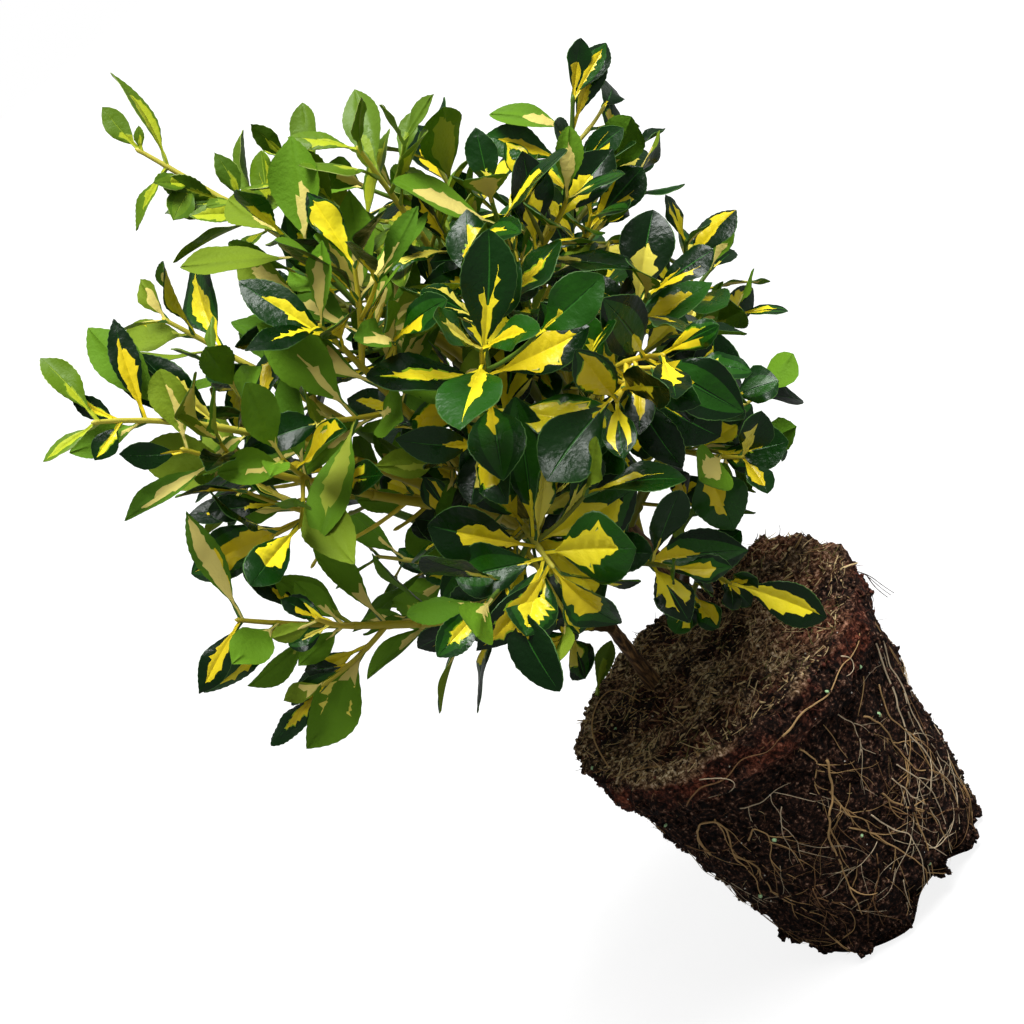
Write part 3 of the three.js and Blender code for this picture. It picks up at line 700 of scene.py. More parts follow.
def space_of_limbs(gap):
    """A space that holds all the limbs and twigs that have grown so far."""
    space = Space()
    for one in limbs.values():
        if one.end > 0:
            space.take(limb_rooms(one, gap))
    for shoot in shoots:
        for twig in shoot.grown_twigs:
            space.take(limb_rooms(twig, gap))
    return space


# %% A mass's own space
SHOOT_STOPS = np.array([[place.point for place in shoot.grown_twigs[0].stops] for shoot in shoots])


def in_own_space(point, shoot, give):
    """Whether no other shoot's leafy axis is nearer than this one's by more than the give."""
    starts = SHOOT_STOPS[:, :-1]
    runs = SHOOT_STOPS[:, 1:] - starts
    shares = ((np.array(point) - starts) * runs).sum(-1) / (runs * runs).sum(-1)
    nearest = starts + np.clip(shares, 0, 1)[..., None] * runs
    distances = np.linalg.norm(nearest - np.array(point), axis=-1).min(-1)
    others = np.delete(distances, shoot.index)
    return bool((others > distances[shoot.index] - give).all())


# %% [markdown]
# ## Buds and leaves, as in the solids
# A leaf is small and upright at the tip of a twig, and reaches its full size and angle some
# nodes below it. It turns a little to the light. Where a leaf finds no room, it tries two other
# angles and sizes, and otherwise it isn't there, as in a crowded crown.

# %% Leaf habits
LEAF_LENGTH, LEAF_GROWTH, LEAF_WIDTH_SHARES = 46, (0.86, 1.1), (0.38, 0.5)
LEAF_WOBBLE, LEAF_LIFT = (-14, 14), (-8, 8)
TIP_SIZE, FULL_SIZE_NODES, FOOT_SIZE, FOOT_NODES = 0.5, 2, 0.72, 3
TIP_ANGLE, FULL_ANGLE_NODES = 28, 2.5
LEAF_FOLD, LEAF_DROOP, LEAF_THICKNESS, LEAF_THICKEST = 0.1, 0.14, 1.3, 0.26
LEAF_SHOULDERS = ((0.34, 0.84), (0.72, 0.88))


def side_direction(place, turn):
    """The side direction of a stop, turned round the limb by these degrees."""
    return Quaternion(place.along, math.radians(turn)) @ place.side


def between(one, other, angle):
    """A direction at an angle from one towards another at right angles to it."""
    turn = math.radians(angle)
    return one * math.cos(turn) + other * math.sin(turn)


# %% A leaf's corners
def leaf_corners(leaf, swell, thickness=LEAF_THICKNESS):
    """Root, shoulders, tip, and the points above and below the midrib."""
    across = leaf.normal.cross(leaf.along)
    half = leaf.width / 2 + swell

    def place(distance, side, rise):
        drop = LEAF_DROOP * distance ** 2 / leaf.length
        return leaf.root + leaf.along * distance + across * side + leaf.normal * (rise - drop)

    shoulders = [place(leaf.length * at, side * half * share, leaf.width * LEAF_FOLD)
                 for at, share in LEAF_SHOULDERS for side in (1, -1)]
    thick = [place(leaf.length * LEAF_THICKEST, 0, face * (thickness / 2 + swell)) for face in (1, -1)]
    return [leaf.root.copy(), *shoulders, place(leaf.length + swell, 0, 0), *thick]


# %% Buds of a twig
def buds_of(shoot, twig, draw, size, tip_size=TIP_SIZE):
    """A bud for each leaf of a twig, from its tip down."""
    for node in range(twig.nodes, 0, -1):
        place = stop_at(twig.stops, node / twig.nodes)
        for side in (0, 180):
            wobble = mix(*LEAF_WOBBLE, next(draw))
            lift = mix(*LEAF_LIFT, next(draw))
            growth = mix(*LEAF_GROWTH, next(draw))
            width_share = mix(*LEAF_WIDTH_SHARES, next(draw))
            if (node, side) in twig.shed:
                continue
            rank = twig.nodes - node
            tip_share = mix(tip_size, 1, min(1, rank / FULL_SIZE_NODES))
            foot_share = mix(FOOT_SIZE, 1, min(1, node / FOOT_NODES))
            angle = mix(TIP_ANGLE, shoot.open, min(1, rank / FULL_ANGLE_NODES)) + lift
            yield SimpleNamespace(
                shoot=shoot, twig=twig, node=node, rank=rank, place=place, width_share=width_share,
                outward=side_direction(place, twig.phase + node * 90 + side + wobble),
                angle=angle, length=LEAF_LENGTH * tip_share * foot_share * growth * size)


# %% A leaf from a bud
ROOT_SETBACK = 1
LIGHT = Vector((0.35, -0.45, 0.82)).normalized()
LIGHT_TWIST, UNDERSIDE_LIT = 0.35, -0.3


def leaf_from(bud, turn, size):
    """The leaf that a bud makes when it is turned and sized like this."""
    along = between(bud.place.along, bud.outward, bud.angle + turn)
    normal = between(-bud.outward, bud.place.along, bud.angle + turn)
    lit = (LIGHT - along * LIGHT.dot(along)).normalized()
    if normal.dot(lit) > UNDERSIDE_LIT:
        normal = normal.lerp(lit, LIGHT_TWIST).normalized()
    root = bud.place.point.copy()
    if bud.rank == 0:
        root -= bud.place.along * ROOT_SETBACK
    length = bud.length * size
    return SimpleNamespace(bud=bud, shoot=bud.shoot, root=root, along=along, normal=normal, length=length,
                           width=length * bud.width_share, face=1, posed=False, blotch_kind=None)


# %% A leaf that finds room
SPACE_GIVE, SOIL_CLEARANCE = 9, 2
TRIES = ((0, 1), (-16, 0.86), (20, 0.78))


def place_leaf(bud, space, swell, thickness=LEAF_THICKNESS):
    """Try a bud's leaf, and take its room if it is free."""
    for turn, size in TRIES:
        leaf = leaf_from(bud, turn, size)
        new = room(leaf_corners(leaf, swell, thickness), LEAF_FACES, bud.twig.name, bud.node)
        if not in_own_space(new.middle, bud.shoot, SPACE_GIVE):
            continue
        if any(corner.z < SOIL_HEIGHT + SOIL_CLEARANCE for corner in new.corners):
            continue
        own = (None, bud.node)
        if any(other.owner != bud.twig.name or other.node not in own for other in space.touched(new)):
            continue
        space.take([new])
        return leaf
    return None


# %% [markdown]
# ## Side twigs first, then the leaves
# A side twig grows in the axil of a leaf that has been shed, so its node keeps only one leaf.
# Limbs take their room first, then side twigs, then leaves from every tip downwards, because a
# leaf at a tip gets the light and the room before the ones below it.

# %% A side twig
TWIG_RISE = 0.15


def side_twig(name, place, outward, reach, angle, nodes, phase, radii):
    """A twig that leaves a place on a limb and curves up a little."""
    heading = between(place.along, outward, angle)
    tip = place.point + heading * reach + Vector((0, 0, reach * TWIG_RISE))
    curve = Curve(place.point, place.point + heading * reach / 2, tip)
    return make_limb(name, curve, 0, 1, taper(*radii, TWIG_STEPS), nodes=nodes, phase=phase, shed=set())


# %% Side twigs of the solids
TWIG_CHANCE, TWIG_ANGLE, TWIG_LENGTHS, TWIG_NODES = 0.8, 48, (25.5, 39), 3
TWIG_RADII = (TWIG_FOOT_RADIUS, SHOOT_TIP_RADIUS)

space = space_of_limbs(GAP)
for shoot in shoots:
    axis = shoot.grown_twigs[0]
    for node in range(1, axis.nodes - 1):
        chance = next(shoot.draw)
        side = 0 if next(shoot.draw) < 0.5 else 180
        reach = mix(*TWIG_LENGTHS, next(shoot.draw)) * shoot.size
        phase = next(shoot.draw) * 90
        if chance > TWIG_CHANCE or len(shoot.grown_twigs) > shoot.twigs:
            continue
        place = stop_at(axis.stops, node / axis.nodes)
        outward = side_direction(place, axis.phase + node * 90 + side)
        twig = side_twig(f"twig_{shoot.name}_{node}", place, outward, reach, TWIG_ANGLE, TWIG_NODES, phase,
                         TWIG_RADII)
        rooms = limb_rooms(twig)
        if any(other.owner != axis.name for one in rooms for other in space.touched(one)):
            continue
        if not in_own_space(twig.curve.tip, shoot, 0):
            continue
        shoot.grown_twigs.append(twig)
        axis.shed.add((node, side))
        space.take(rooms)
print("side twigs:", sum(len(shoot.grown_twigs) - 1 for shoot in shoots))

# %% Leaves of the solids
buds = [bud for shoot in shoots for twig in shoot.grown_twigs
        for bud in buds_of(shoot, twig, shoot.draw, shoot.size)]
buds.sort(key=lambda bud: bud.rank)
leaves, missed = [], []
for bud in buds:
    leaf = place_leaf(bud, space, GAP)
    if leaf:
        leaves.append(leaf)
    else:
        missed.append(bud)
print("leaves as in the solids:", len(leaves), "without room:", len(missed))

# %% [markdown]
# ## Room for real blades
# The plain solids carry fewer leaves than the plant, because their leaves are thick. Real blades
# are thinner, so their rooms are made again with thinner walls, and many buds that found no room
# will find one below. Young leaves may be larger where nothing is in their way, but not on the
# open shoots, because sky shows between their leaves. The innermost leaves of the open rosette
# make way for leaves that are set one by one.

# %% Room for real blades
BLADE_ROOM, BLADE_SWELL = 0.7, 0.1
ROSETTE_RANKS = 2

fine_space = space_of_limbs(0)


def blade_room(leaf):
    """The thin room of a real blade."""
    return room(leaf_corners(leaf, BLADE_SWELL, BLADE_ROOM), LEAF_FACES, leaf.bud.twig.name, leaf.bud.node)


leaves = [leaf for leaf in leaves
          if leaf.bud.twig.name != "axis_front_rosette" or leaf.bud.rank > ROSETTE_RANKS]
first_room = len(fine_space.rooms)
fine_space.take([blade_room(leaf) for leaf in leaves])
print("rooms of blades:", len(leaves))

# %% Larger young leaves
STRETCHES, STRETCHED_BELOW = (1.25, 1.12), 36
OPEN_SHOOTS = ("basal", "low_front", "right_low", "low_centre", "low_left", "far_left", "high_left_tip",
               "high_left", "right_back", "low_middle", "back_low_left", "left_back")

stretched = 0
for i, leaf in enumerate(leaves):
    index = first_room + i
    may_stretch = leaf.length < STRETCHED_BELOW and leaf.shoot.name not in OPEN_SHOOTS
    for size in STRETCHES if may_stretch else ():
        longer = SimpleNamespace(**vars(leaf))
        longer.length, longer.width = leaf.length * size, leaf.width * size
        new = blade_room(longer)
        in_the_way = [other for other in fine_space.touched(new) if other is not fine_space.rooms[index]]
        if all(other.owner == leaf.bud.twig.name and other.node in (None, leaf.bud.node)
               for other in in_the_way):
            leaves[i] = longer
            fine_space.rooms[index], fine_space.spheres[index] = new, (*new.middle, new.radius)
            stretched += 1
            break
print("young leaves that had room to be larger:", stretched)

# %% [markdown]
# ## Leaves set one by one
# Nine leaves of the open rosette and one golden leaf at the soil are so near the eye that their
# own angles matter. They are set like the hands of a clock as the viewer sees it. A row gives the
# share along the shoot's axis, the clock angle, the length and width, the lean towards the
# viewer, the roll round the leaf's own midrib, and the kind of gold blotch.

# %% Posed leaves
VIEWER = Vector((0, -3, 1)).normalized()
VIEW_RIGHT = Vector((1, 0, 0))
VIEW_UP = VIEWER.cross(VIEW_RIGHT)
POSED_LEAVES = {
    "front_rosette": [
        (0.76, 131, 39, 20, 0.15, -8, "centre"), (0.66, 53, 50, 16, 0.1, 12, "small"),
        (0.72, 42, 31, 13, 0.25, 58, "broad"), (0.84, -32, 33, 22, 0.35, 8, "centre"),
        (0.7, -17, 41, 20, 0.0, -14, "centre"), (0.88, -147, 29, 17, 0.3, 14, "centre"),
        (0.97, -158, 38, 15, 0.1, -12, "centre"), (0.9, 154, 33, 18, -0.15, 10, "small"),
        (1.0, -94, 31, 14, -0.1, 16, "centre")],
    "basal": [(1.0, -54, 39, 15.5, 0.1, 0, "centre")],
}


def pose(clock, lean, roll):
    """A leaf's way and its face, from a clock angle, a lean to the viewer and a roll."""
    turn = math.radians(clock)
    along = (VIEW_RIGHT * math.cos(turn) + VIEW_UP * math.sin(turn) + VIEWER * lean).normalized()
    normal = (VIEWER - along * VIEWER.dot(along)).normalized()
    return along, Quaternion(along, math.radians(roll)) @ normal


# %% Leaves from their poses
def posed_leaf(shoot, share, clock, length, width, lean, roll, blotch_kind):
    """A leaf on a shoot's axis whose way and face are given as the viewer sees them."""
    axis = shoot.grown_twigs[0]
    along, normal = pose(clock, lean, roll)
    return SimpleNamespace(
        bud=SimpleNamespace(twig=axis, node=None, rank=0), shoot=shoot, along=along, normal=normal,
        root=stop_at(axis.stops, share).point.copy(), length=length, width=width, face=1, posed=True,
        blotch_kind=blotch_kind)


shoot_of = {shoot.name: shoot for shoot in shoots}
posed = [posed_leaf(shoot_of[name], *row) for name, rows in POSED_LEAVES.items() for row in rows]
fine_space.take([blade_room(leaf) for leaf in posed])
leaves += posed
print("posed leaves:", len(posed))

# %% [markdown]
# ## Spurs
# A nursery pinches such a plant back, and it answers with short leafy spurs. They stand between
# the nodes of the twigs and along the upper part of the boughs, wherever both the spur and its
# tip are free. A spur's seed is its shoot's, so the shoots don't disturb each other's draws.

# %% One spur
FINE_SEED = 400
SPUR_LENGTHS, SPUR_ANGLES, SPUR_NODES, SPUR_RADII = (13, 30), (42, 64), 2, (0.85, 0.6)


def try_spur(shoot, name, parent, place, outward, draw, size):
    """A short spur with leaves, where both it and its tip are free."""
    reach = mix(*SPUR_LENGTHS, next(draw)) * size
    angle = mix(*SPUR_ANGLES, next(draw))
    spur = side_twig(name, place, outward, reach, angle, SPUR_NODES, next(draw) * 90, SPUR_RADII)
    rooms = limb_rooms(spur, 0)
    blocked = any(other.owner != parent for one in rooms for other in fine_space.touched(one))
    if blocked or not in_own_space(spur.curve.tip, shoot, SPACE_GIVE / 2):
        return None
    if spur.curve.tip.z < SOIL_HEIGHT + 3 * SOIL_CLEARANCE:
        return None
    fine_space.take(rooms)
    return spur


# %% Spurs of twigs and boughs
SPUR_CHANCE, BOUGH_SPUR_SPACING = 0.75, 9
BARE_BELOW, LAST_SPUR = 0.2, 0.97


def twig_spurs(shoot, draw):
    """Spurs between the nodes of a shoot's twigs."""
    for twig in shoot.grown_twigs:
        for node in range(1, twig.nodes):
            place = stop_at(twig.stops, (node - 0.5) / twig.nodes)
            for side in (90, 270):
                turn = twig.phase + node * 90 + side + mix(*LEAF_WOBBLE, next(draw))
                if next(draw) < SPUR_CHANCE:
                    yield try_spur(shoot, f"spur_{twig.name}_{node}_{side}", twig.name, place,
                                   side_direction(place, turn), draw, shoot.size)


def bough_spurs(shoot, bough, draw):
    """Spurs in opposite pairs along the upper part of a bough."""
    length = (bough.stops[-1].point - bough.stops[0].point).length
    count = int(length * (1 - BARE_BELOW) / BOUGH_SPUR_SPACING)
    for i in range(count):
        place = stop_at(bough.stops, mix(BARE_BELOW, LAST_SPUR, (i + 0.5) / count))
        turn = next(draw) * 180
        for side in (0, 180):
            yield try_spur(shoot, f"spur_{shoot.name}_{i}_{side}", bough.name, place,
                           side_direction(place, turn + side), draw, shoot.size)


# %% Spurs and their leaves
SPUR_LEAF_SIZE, SPUR_TIP_SIZE = 0.9, 0.8

for shoot in shoots:
    draw = draws(FINE_SEED + shoot.index)
    bough = limbs[shoot.name]
    spurs = []
    if shoot.name not in OPEN_SHOOTS:
        spurs += twig_spurs(shoot, draw)
        if bough.end > 0:
            spurs += bough_spurs(shoot, bough, draw)
    shoot.spurs = [spur for spur in spurs if spur]
    fine_buds = [bud for bud in missed if bud.shoot is shoot]
    for spur in shoot.spurs:
        fine_buds += buds_of(shoot, spur, draw, shoot.size * SPUR_LEAF_SIZE, SPUR_TIP_SIZE)
    for bud in fine_buds:
        leaf = place_leaf(bud, fine_space, BLADE_SWELL, BLADE_ROOM)
        if leaf:
            leaves.append(leaf)
print("spurs:", sum(len(shoot.spurs) for shoot in shoots), "leaves in all:", len(leaves))

# %% [markdown]
# ## The outer sprigs
# Sprigs that stand out from the crown are seen against the sky, so each of their leaves counts.
# The rule gave them their nodes, and their leaves are now turned to the poses that the eye sees,
# from the tip of each sprig down: clock angle, length and width, lean towards the viewer, roll,
# and which face is up, since a leaf seen from below is pale and matt.

# %% Poses of the outer sprigs
UPPER, UNDER = 1, -1
SPRIG_POSES = {
    "axis_low_left": [
        (194, 28, 13, 0.1, 35, UPPER), (74, 40, 11, 0.1, 45, UNDER), (186, 26, 15, 1.4, 0, UNDER),
        (197, 33, 12, 0.1, -35, UPPER), (97, 31, 11, 0.1, 45, UPPER), (190, 31, 13, 0.3, -30, UNDER),
        (103, 31, 14, 0.2, 15, UNDER), (92, 38, 12, 0.2, 35, UNDER)],
    "twig_low_left_1": [
        (165, 16, 8, 0.2, 20, UNDER), (190, 29, 11, 0.1, 25, UPPER), (150, 15, 8, 0, 20, UPPER),
        (176, 20, 9, 0.1, 15, UPPER), (199, 40, 18, 0.3, 10, UNDER), (162, 32, 13, 0.1, 10, UPPER)],
    "twig_low_left_2": [
        (105, 14, 7, 0.3, 30, UPPER), (168, 16, 8, 0.2, 0, UNDER), (172, 16, 9, 0, 10, UPPER),
        (112, 17, 8, 0.1, 40, UPPER), (183, 20, 10, 0.4, -20, UNDER), (95, 22, 9, 0.1, 25, UNDER)],
    "axis_high_left_tip": [
        (96, 21, 10, 0, 5, UPPER), (60, 9, 4, 0.3, 0, UPPER), (66, 37, 10, 0.1, 42, UPPER),
        (196, 24, 9, 0.1, 35, UPPER), (200, 20, 11, 0.8, 0, UPPER), (150, 18, 9, 1.2, 10, UPPER),
        (124, 24, 11, 0.5, -20, UPPER), (149, 21, 12, 0.5, 15, UPPER)],
    "axis_far_left": [
        (88, 27, 10, 0.1, 15, UPPER), (176, 21, 8, 0.1, 30, UPPER), (117, 17, 9, 0.1, 20, UPPER),
        (200, 14, 9, 0.5, 0, UPPER), (67, 34, 10, 0.1, 30, UPPER), (163, 26, 11, 0.1, 25, UNDER),
        (88, 40, 15, 0.1, 5, UNDER), (103, 40, 12, 0.1, -20, UPPER)],
    "axis_left_front": [
        (62, 27, 13, 0.2, 15, UNDER), (150, 22, 10, 0.1, 0, UPPER), (172, 36, 12, 0.1, 20, UNDER),
        (128, 37, 18, 0.1, 0, UNDER)],
    "axis_right_top": [
        (23, 26, 10, 0.1, -15, UPPER), (45, 24, 9, 0.1, 25, UPPER), (32, 33, 11, 0.1, 10, UPPER),
        (116, 31, 10, 0.1, 20, UNDER), (117, 34, 12, 0.1, 35, UPPER), (-1, 26, 11, 0.1, -10, UPPER)],
}
for name, poses in SPRIG_POSES.items():
    sprig = [leaf for leaf in leaves if leaf.bud.twig.name == name and not leaf.posed]
    for leaf, (clock, length, width, lean, roll, face) in zip(sprig, poses):
        leaf.along, leaf.normal = pose(clock, lean, roll)
        leaf.length, leaf.width, leaf.face, leaf.posed = length, width, face, True
print("leaves of the outer sprigs:", sum(len(poses) for poses in SPRIG_POSES.values()))

# %% [markdown]
# ## One leaf blade
# A spindle leaf is widest near its middle, ends in a blunt point and narrows into a short stalk.
# The rows of its grid follow the side veins: each leaves the midrib and runs forward to the
# margin. The lines along the blade follow the edge of the gold blotch, so that this edge is
# crisp and ragged with few faces. All lines meet at the tip, so half of the last row's triangles
# have no area there and are left out. Small leaves get half the rows.

# %% Blade grid
SIDE_CELLS, UNDER_CELLS = 6, 3


def blade_grid(rows):
    """The triangles of a blade: its upper side, its underside and its two rims."""
    upper_columns, under_columns = 2 * SIDE_CELLS, 2 * UNDER_CELLS
    upper = grid_triangles(rows, upper_columns)[:, ::-1]
    under = grid_triangles(rows, under_columns) + (rows + 1) * (upper_columns + 1)
    rims, start = [], (rows + 1) * (upper_columns + under_columns + 2)
    for order in (1, -1):
        rims.append(grid_triangles(rows, 1)[:, ::order] + start)
        start += (rows + 1) * 2
    triangles = np.vstack([upper, under, *rims])
    kept = np.ones(len(triangles), bool)
    for first, columns in ((0, upper_columns), (len(upper), under_columns)):
        last_row = first + (rows - 1) * columns * 2
        kept[last_row + 1:last_row + columns * 2:2] = False
    return SimpleNamespace(rows=rows, shares=np.linspace(0, 1, rows + 1), triangles=triangles, kept=kept)


FINE_GRID, SMALL_GRID = blade_grid(26), blade_grid(13)
SMALL_LEAF = 23
print("triangles of a fine blade:", FINE_GRID.kept.sum())

# %% [markdown]
# ## Outline and habit
# Two powers give the outline, one for its swell above the stalk and one for its point. No two
# leaves are the same, because each grew in its own shade and wind. So each draws its own powers,
# and its own fold, droop, curl, waves, bend, twist and teeth.

# %% Outline and habit
STALK_SHARE, STALK_HALF = 0.14, 0.65
WAVE_TURN = 6.3


def half_width(shares, width, habit):
    """Half the blade's width at shares of its length, down to the stalk's."""
    blade = np.clip((shares - STALK_SHARE) / (1 - STALK_SHARE), 0, 1)
    swell, point = habit["swell"], habit["point"]
    widest = swell / (swell + point)
    half = width / 2 * (blade ** swell * (1 - blade) ** point) / (widest ** swell * (1 - widest) ** point)
    return np.where(blade < widest, np.maximum(half, STALK_HALF), half)


def blade_habit(rng, shape):
    """How this leaf differs from the next: outline, fold, droop, curl, waves and twist."""
    return {
        "swell": rng.uniform(1.15, 1.65),
        "point": rng.uniform(*shape["points"]),
        "fold": rng.uniform(0.04, shape["fold"]),
        "droop": rng.uniform(0.0, 0.32),
        "curl": rng.uniform(-1.2, 2.4, 2),
        "wave": rng.uniform(0.3, 1.6),
        "waves": rng.uniform(1.2, 2.6, 2),
        "start": rng.uniform(0, WAVE_TURN, 2),
        "bend": rng.uniform(-0.12, 0.12),
        "twist": math.radians(rng.uniform(-1, 1) * shape["twist"]),
        "tooth": rng.uniform(0.05, 0.15)}


# %% [markdown]
# ## The points of a blade
# The margin has fine blunt teeth. The blade is folded a little along a midrib that is sunken
# above and stands out below, and its side veins are sunken too. It's thickest at the stalk and
# thinnest at the margin. Droop, curl and waves grow towards the tip and the margin, where the
# blade is weakest. A twist turns the whole blade round its length.

# %% Blade points
VEIN_SWEEP, VEIN_EVERY, VEIN_DEPTH = 0.5, 3, 0.14
TOOTHED, TOOTH_BAND = (STALK_SHARE * 1.3, 0.99), 0.93
RIB_BAND, RIB_ABOVE, RIB_BELOW = 0.04, -0.22, -0.5
STALK_THICK, BLADE_THICK, THINNING = 0.55, 0.22, 0.14
CURL_EASE, WAVE_EASE = 8, 9


def blade_points(leaf, grid, habit, upper_lines, under_lines):
    """The points of a blade in place, one grid after the other."""
    length, rows = leaf.length, grid.shares[:, None]
    row_numbers = np.arange(grid.rows + 1)[:, None]
    edge = rows + VEIN_SWEEP * rows * (1 - rows)
    half = half_width(edge, leaf.width, habit)
    on_blade = (edge > TOOTHED[0]) & (edge < TOOTHED[1])
    tooth = habit["tooth"] * np.where(row_numbers % 2, 1, -1) * on_blade
    vein = (row_numbers % VEIN_EVERY == 0) * on_blade

    def face(lines, side):
        """One side of the blade, with the leaf's own length, width and normal as axes."""
        size = np.abs(lines)
        right = (lines > 0).astype(int)
        x = (rows + VEIN_SWEEP * size * rows * (1 - rows)) * length
        y = lines * half + np.sign(lines) * tooth * (size > TOOTH_BAND)
        fold = leaf.face * habit["fold"] * (np.sqrt(y ** 2 + 1) - 1)
        droop = -leaf.face * habit["droop"] * x ** 2 / length
        curl = -habit["curl"][right] * size ** 3 * half / CURL_EASE
        wave = habit["wave"] * size ** 2 * half / WAVE_EASE
        wave = wave * np.sin(WAVE_TURN * habit["waves"][right] * x / length + habit["start"][right])
        thick = np.where(edge < STALK_SHARE, STALK_THICK, BLADE_THICK - THINNING * size)
        ribs = -VEIN_DEPTH * vein * (size > RIB_BAND) * (1 - size)
        rib = np.where(size < RIB_BAND, RIB_ABOVE if side > 0 else RIB_BELOW, 0) * on_blade
        z = fold + droop + curl + wave + ribs + rib + side * thick
        turn = habit["twist"] * x / length
        y = y + habit["bend"] * x ** 2 / length
        return np.stack([x, y * np.cos(turn) - z * np.sin(turn), y * np.sin(turn) + z * np.cos(turn)], -1)

    upper, under = face(upper_lines, 1), face(under_lines, -1)
    rims = [np.stack([upper[:, column], under[:, column]], 1) for column in (0, -1)]
    local = np.concatenate([part.reshape(-1, 3) for part in (upper, under, *rims)])
    normal = leaf.normal * leaf.face
    across = normal.cross(leaf.along)
    return np.array(leaf.root) + local @ np.array([leaf.along, across, normal])


# %% [markdown]
# ## The ragged gold centre
# The pattern is in the leaf's tissue. Cells without green pigment fill the middle and end where
# a side vein stops them, so the gold has steps and fingers that point forward, and the green
# margin is widest near the tip. Each half of a leaf draws its own blotch, as the midrib parts
# them: mostly a broad centre, sometimes a fork round a green wedge, a small patch at the base,
# or nearly all gold. In about a quarter of the halves the gold is weak.

# %% Half a blotch
BLOTCHES = {
    "centre": {"share": 0.53, "extent": (0.34, 0.77), "end": (0.58, 0.9)},
    "fork": {"share": 0.18, "extent": (0.55, 0.85), "end": (0.66, 0.9)},
    "small": {"share": 0.21, "extent": (0.15, 0.5), "end": (0.25, 0.58)},
    "broad": {"share": 0.08, "extent": (0.75, 0.95), "end": (0.85, 1.0)},
}
WEAK = {"chance": 0.24, "extent": (0.15, 0.6), "end": (0.6, 0.95)}
STEP_SIZES, STEP_ROWS, END_DRIFT, END_FADE = (0.68, 1.12), (1, 5), 0.08, (0.07, 0.32)
FINGERS = {"chance": 0.12, "size": (0.08, 0.26)}
STALK_GOLD, STALK_EXTENT = (0.13, 0.24), 0.88
RIB_LINE, RIM_LINE, WIDEST_GOLD, LEAST_GOLD = 0.032, 0.97, 0.9, 0.02
EXTENT_VARIES, FADE_POWER, EDGE_JITTER = (0.85, 1.15), 0.7, 0.02
WEDGE_WIDENS, WIDEST_WEDGE, WEDGE_JITTER = (0.7, 1.5), 0.8, 0.015


def half_blotch(rng, grid, look):
    """The inner and outer edge of the gold in half a leaf, row by row, and where it ends."""
    shares, count = grid.shares, len(grid.shares)
    extent, end = look.extent, look.end
    if rng.random() < look.weak_chance:
        extent = extent * rng.uniform(*WEAK["extent"])
        end = end * rng.uniform(*WEAK["end"])
    end = end + rng.uniform(-END_DRIFT, END_DRIFT)
    steps = np.repeat(rng.uniform(*STEP_SIZES, count), rng.integers(*STEP_ROWS, count))[:count]
    fade = np.clip((end - shares) / rng.uniform(*END_FADE), 0, 1) ** FADE_POWER
    outer = extent * rng.uniform(*EXTENT_VARIES) * steps * fade + rng.normal(0, EDGE_JITTER, count)
    outer += (rng.random(count) < FINGERS["chance"]) * rng.uniform(*FINGERS["size"], count) * (fade > 0)
    outer[shares < rng.uniform(*STALK_GOLD)] = STALK_EXTENT
    inner = np.clip((shares - look.wedge_start) * rng.uniform(*WEDGE_WIDENS), 0, WIDEST_WEDGE)
    inner = np.maximum(inner + rng.normal(0, WEDGE_JITTER, count), RIB_LINE + WEDGE_JITTER)
    return inner, np.clip(outer, inner + LEAST_GOLD, WIDEST_GOLD), end


# %% [markdown]
# ## Lines and cells of a leaf
# The lines of the upper side run along the midrib, the inner and outer edge of the gold, two
# bands beside it, and the rim. The cells between them are green, gold, lime, rib or a paler
# green. Below, the gold shows through as a cream patch, sometimes shorter and narrower than
# above.

# %% Lines and cells
GREEN, GOLD, LIME, RIB, PALER_GREEN = range(5)
WEDGE_STARTS, NO_WEDGE = (0.28, 0.5), 2
FRINGE_CHANCE, LIME_SHARE, PALER_CHANCE = 0.3, 0.6, 0.3
FADES_THROUGH, SHOWS_THROUGH, LEAST_THROUGH = (0.6, 1.0), (0.3, 1.6), 0.06
BESIDE_GOLD, BESIDE_SHARE = 0.08, 0.35


def half_leaf(rng, grid, look):
    """Lines and cells of the upper side and the underside of half a leaf."""
    inner, outer, half_end = half_blotch(rng, grid, look)
    beside = outer + np.minimum(BESIDE_GOLD, (RIM_LINE - outer) * BESIDE_SHARE)
    zero, near = np.zeros_like(outer), (beside + RIM_LINE) / 2
    upper_lines = np.stack([zero, zero + RIB_LINE, inner, outer, beside, near, zero + RIM_LINE], 1)
    through = np.maximum(outer * look.fade_through, LEAST_THROUGH)
    under_lines = np.stack([zero, through, (through + 1) / 2, np.ones_like(outer)], 1)
    cell_shares = (grid.shares[1:] + grid.shares[:-1]) / 2
    gold = cell_shares < half_end
    middle = np.where(gold & (cell_shares <= look.wedge_start), GOLD, RIB)
    limes = look.fringe & gold & (rng.random(grid.rows) < LIME_SHARE)
    all_green = np.full(grid.rows, GREEN)
    upper_cells = np.stack([
        middle, np.where(middle == GOLD, GOLD, GREEN), np.where(gold, GOLD, GREEN),
        np.where(limes, LIME, look.green), np.full(grid.rows, look.green), all_green], 1)
    pale = gold & (cell_shares < half_end * look.shows_through)
    under_cells = np.stack([np.where(pale, GOLD, GREEN), all_green, all_green], 1)
    return upper_lines, under_lines, upper_cells, under_cells


# %% Both halves of a leaf
def draw_from(rng, shares):
    """One of the names, by their shares."""
    return rng.choice(list(shares), p=list(shares.values()))


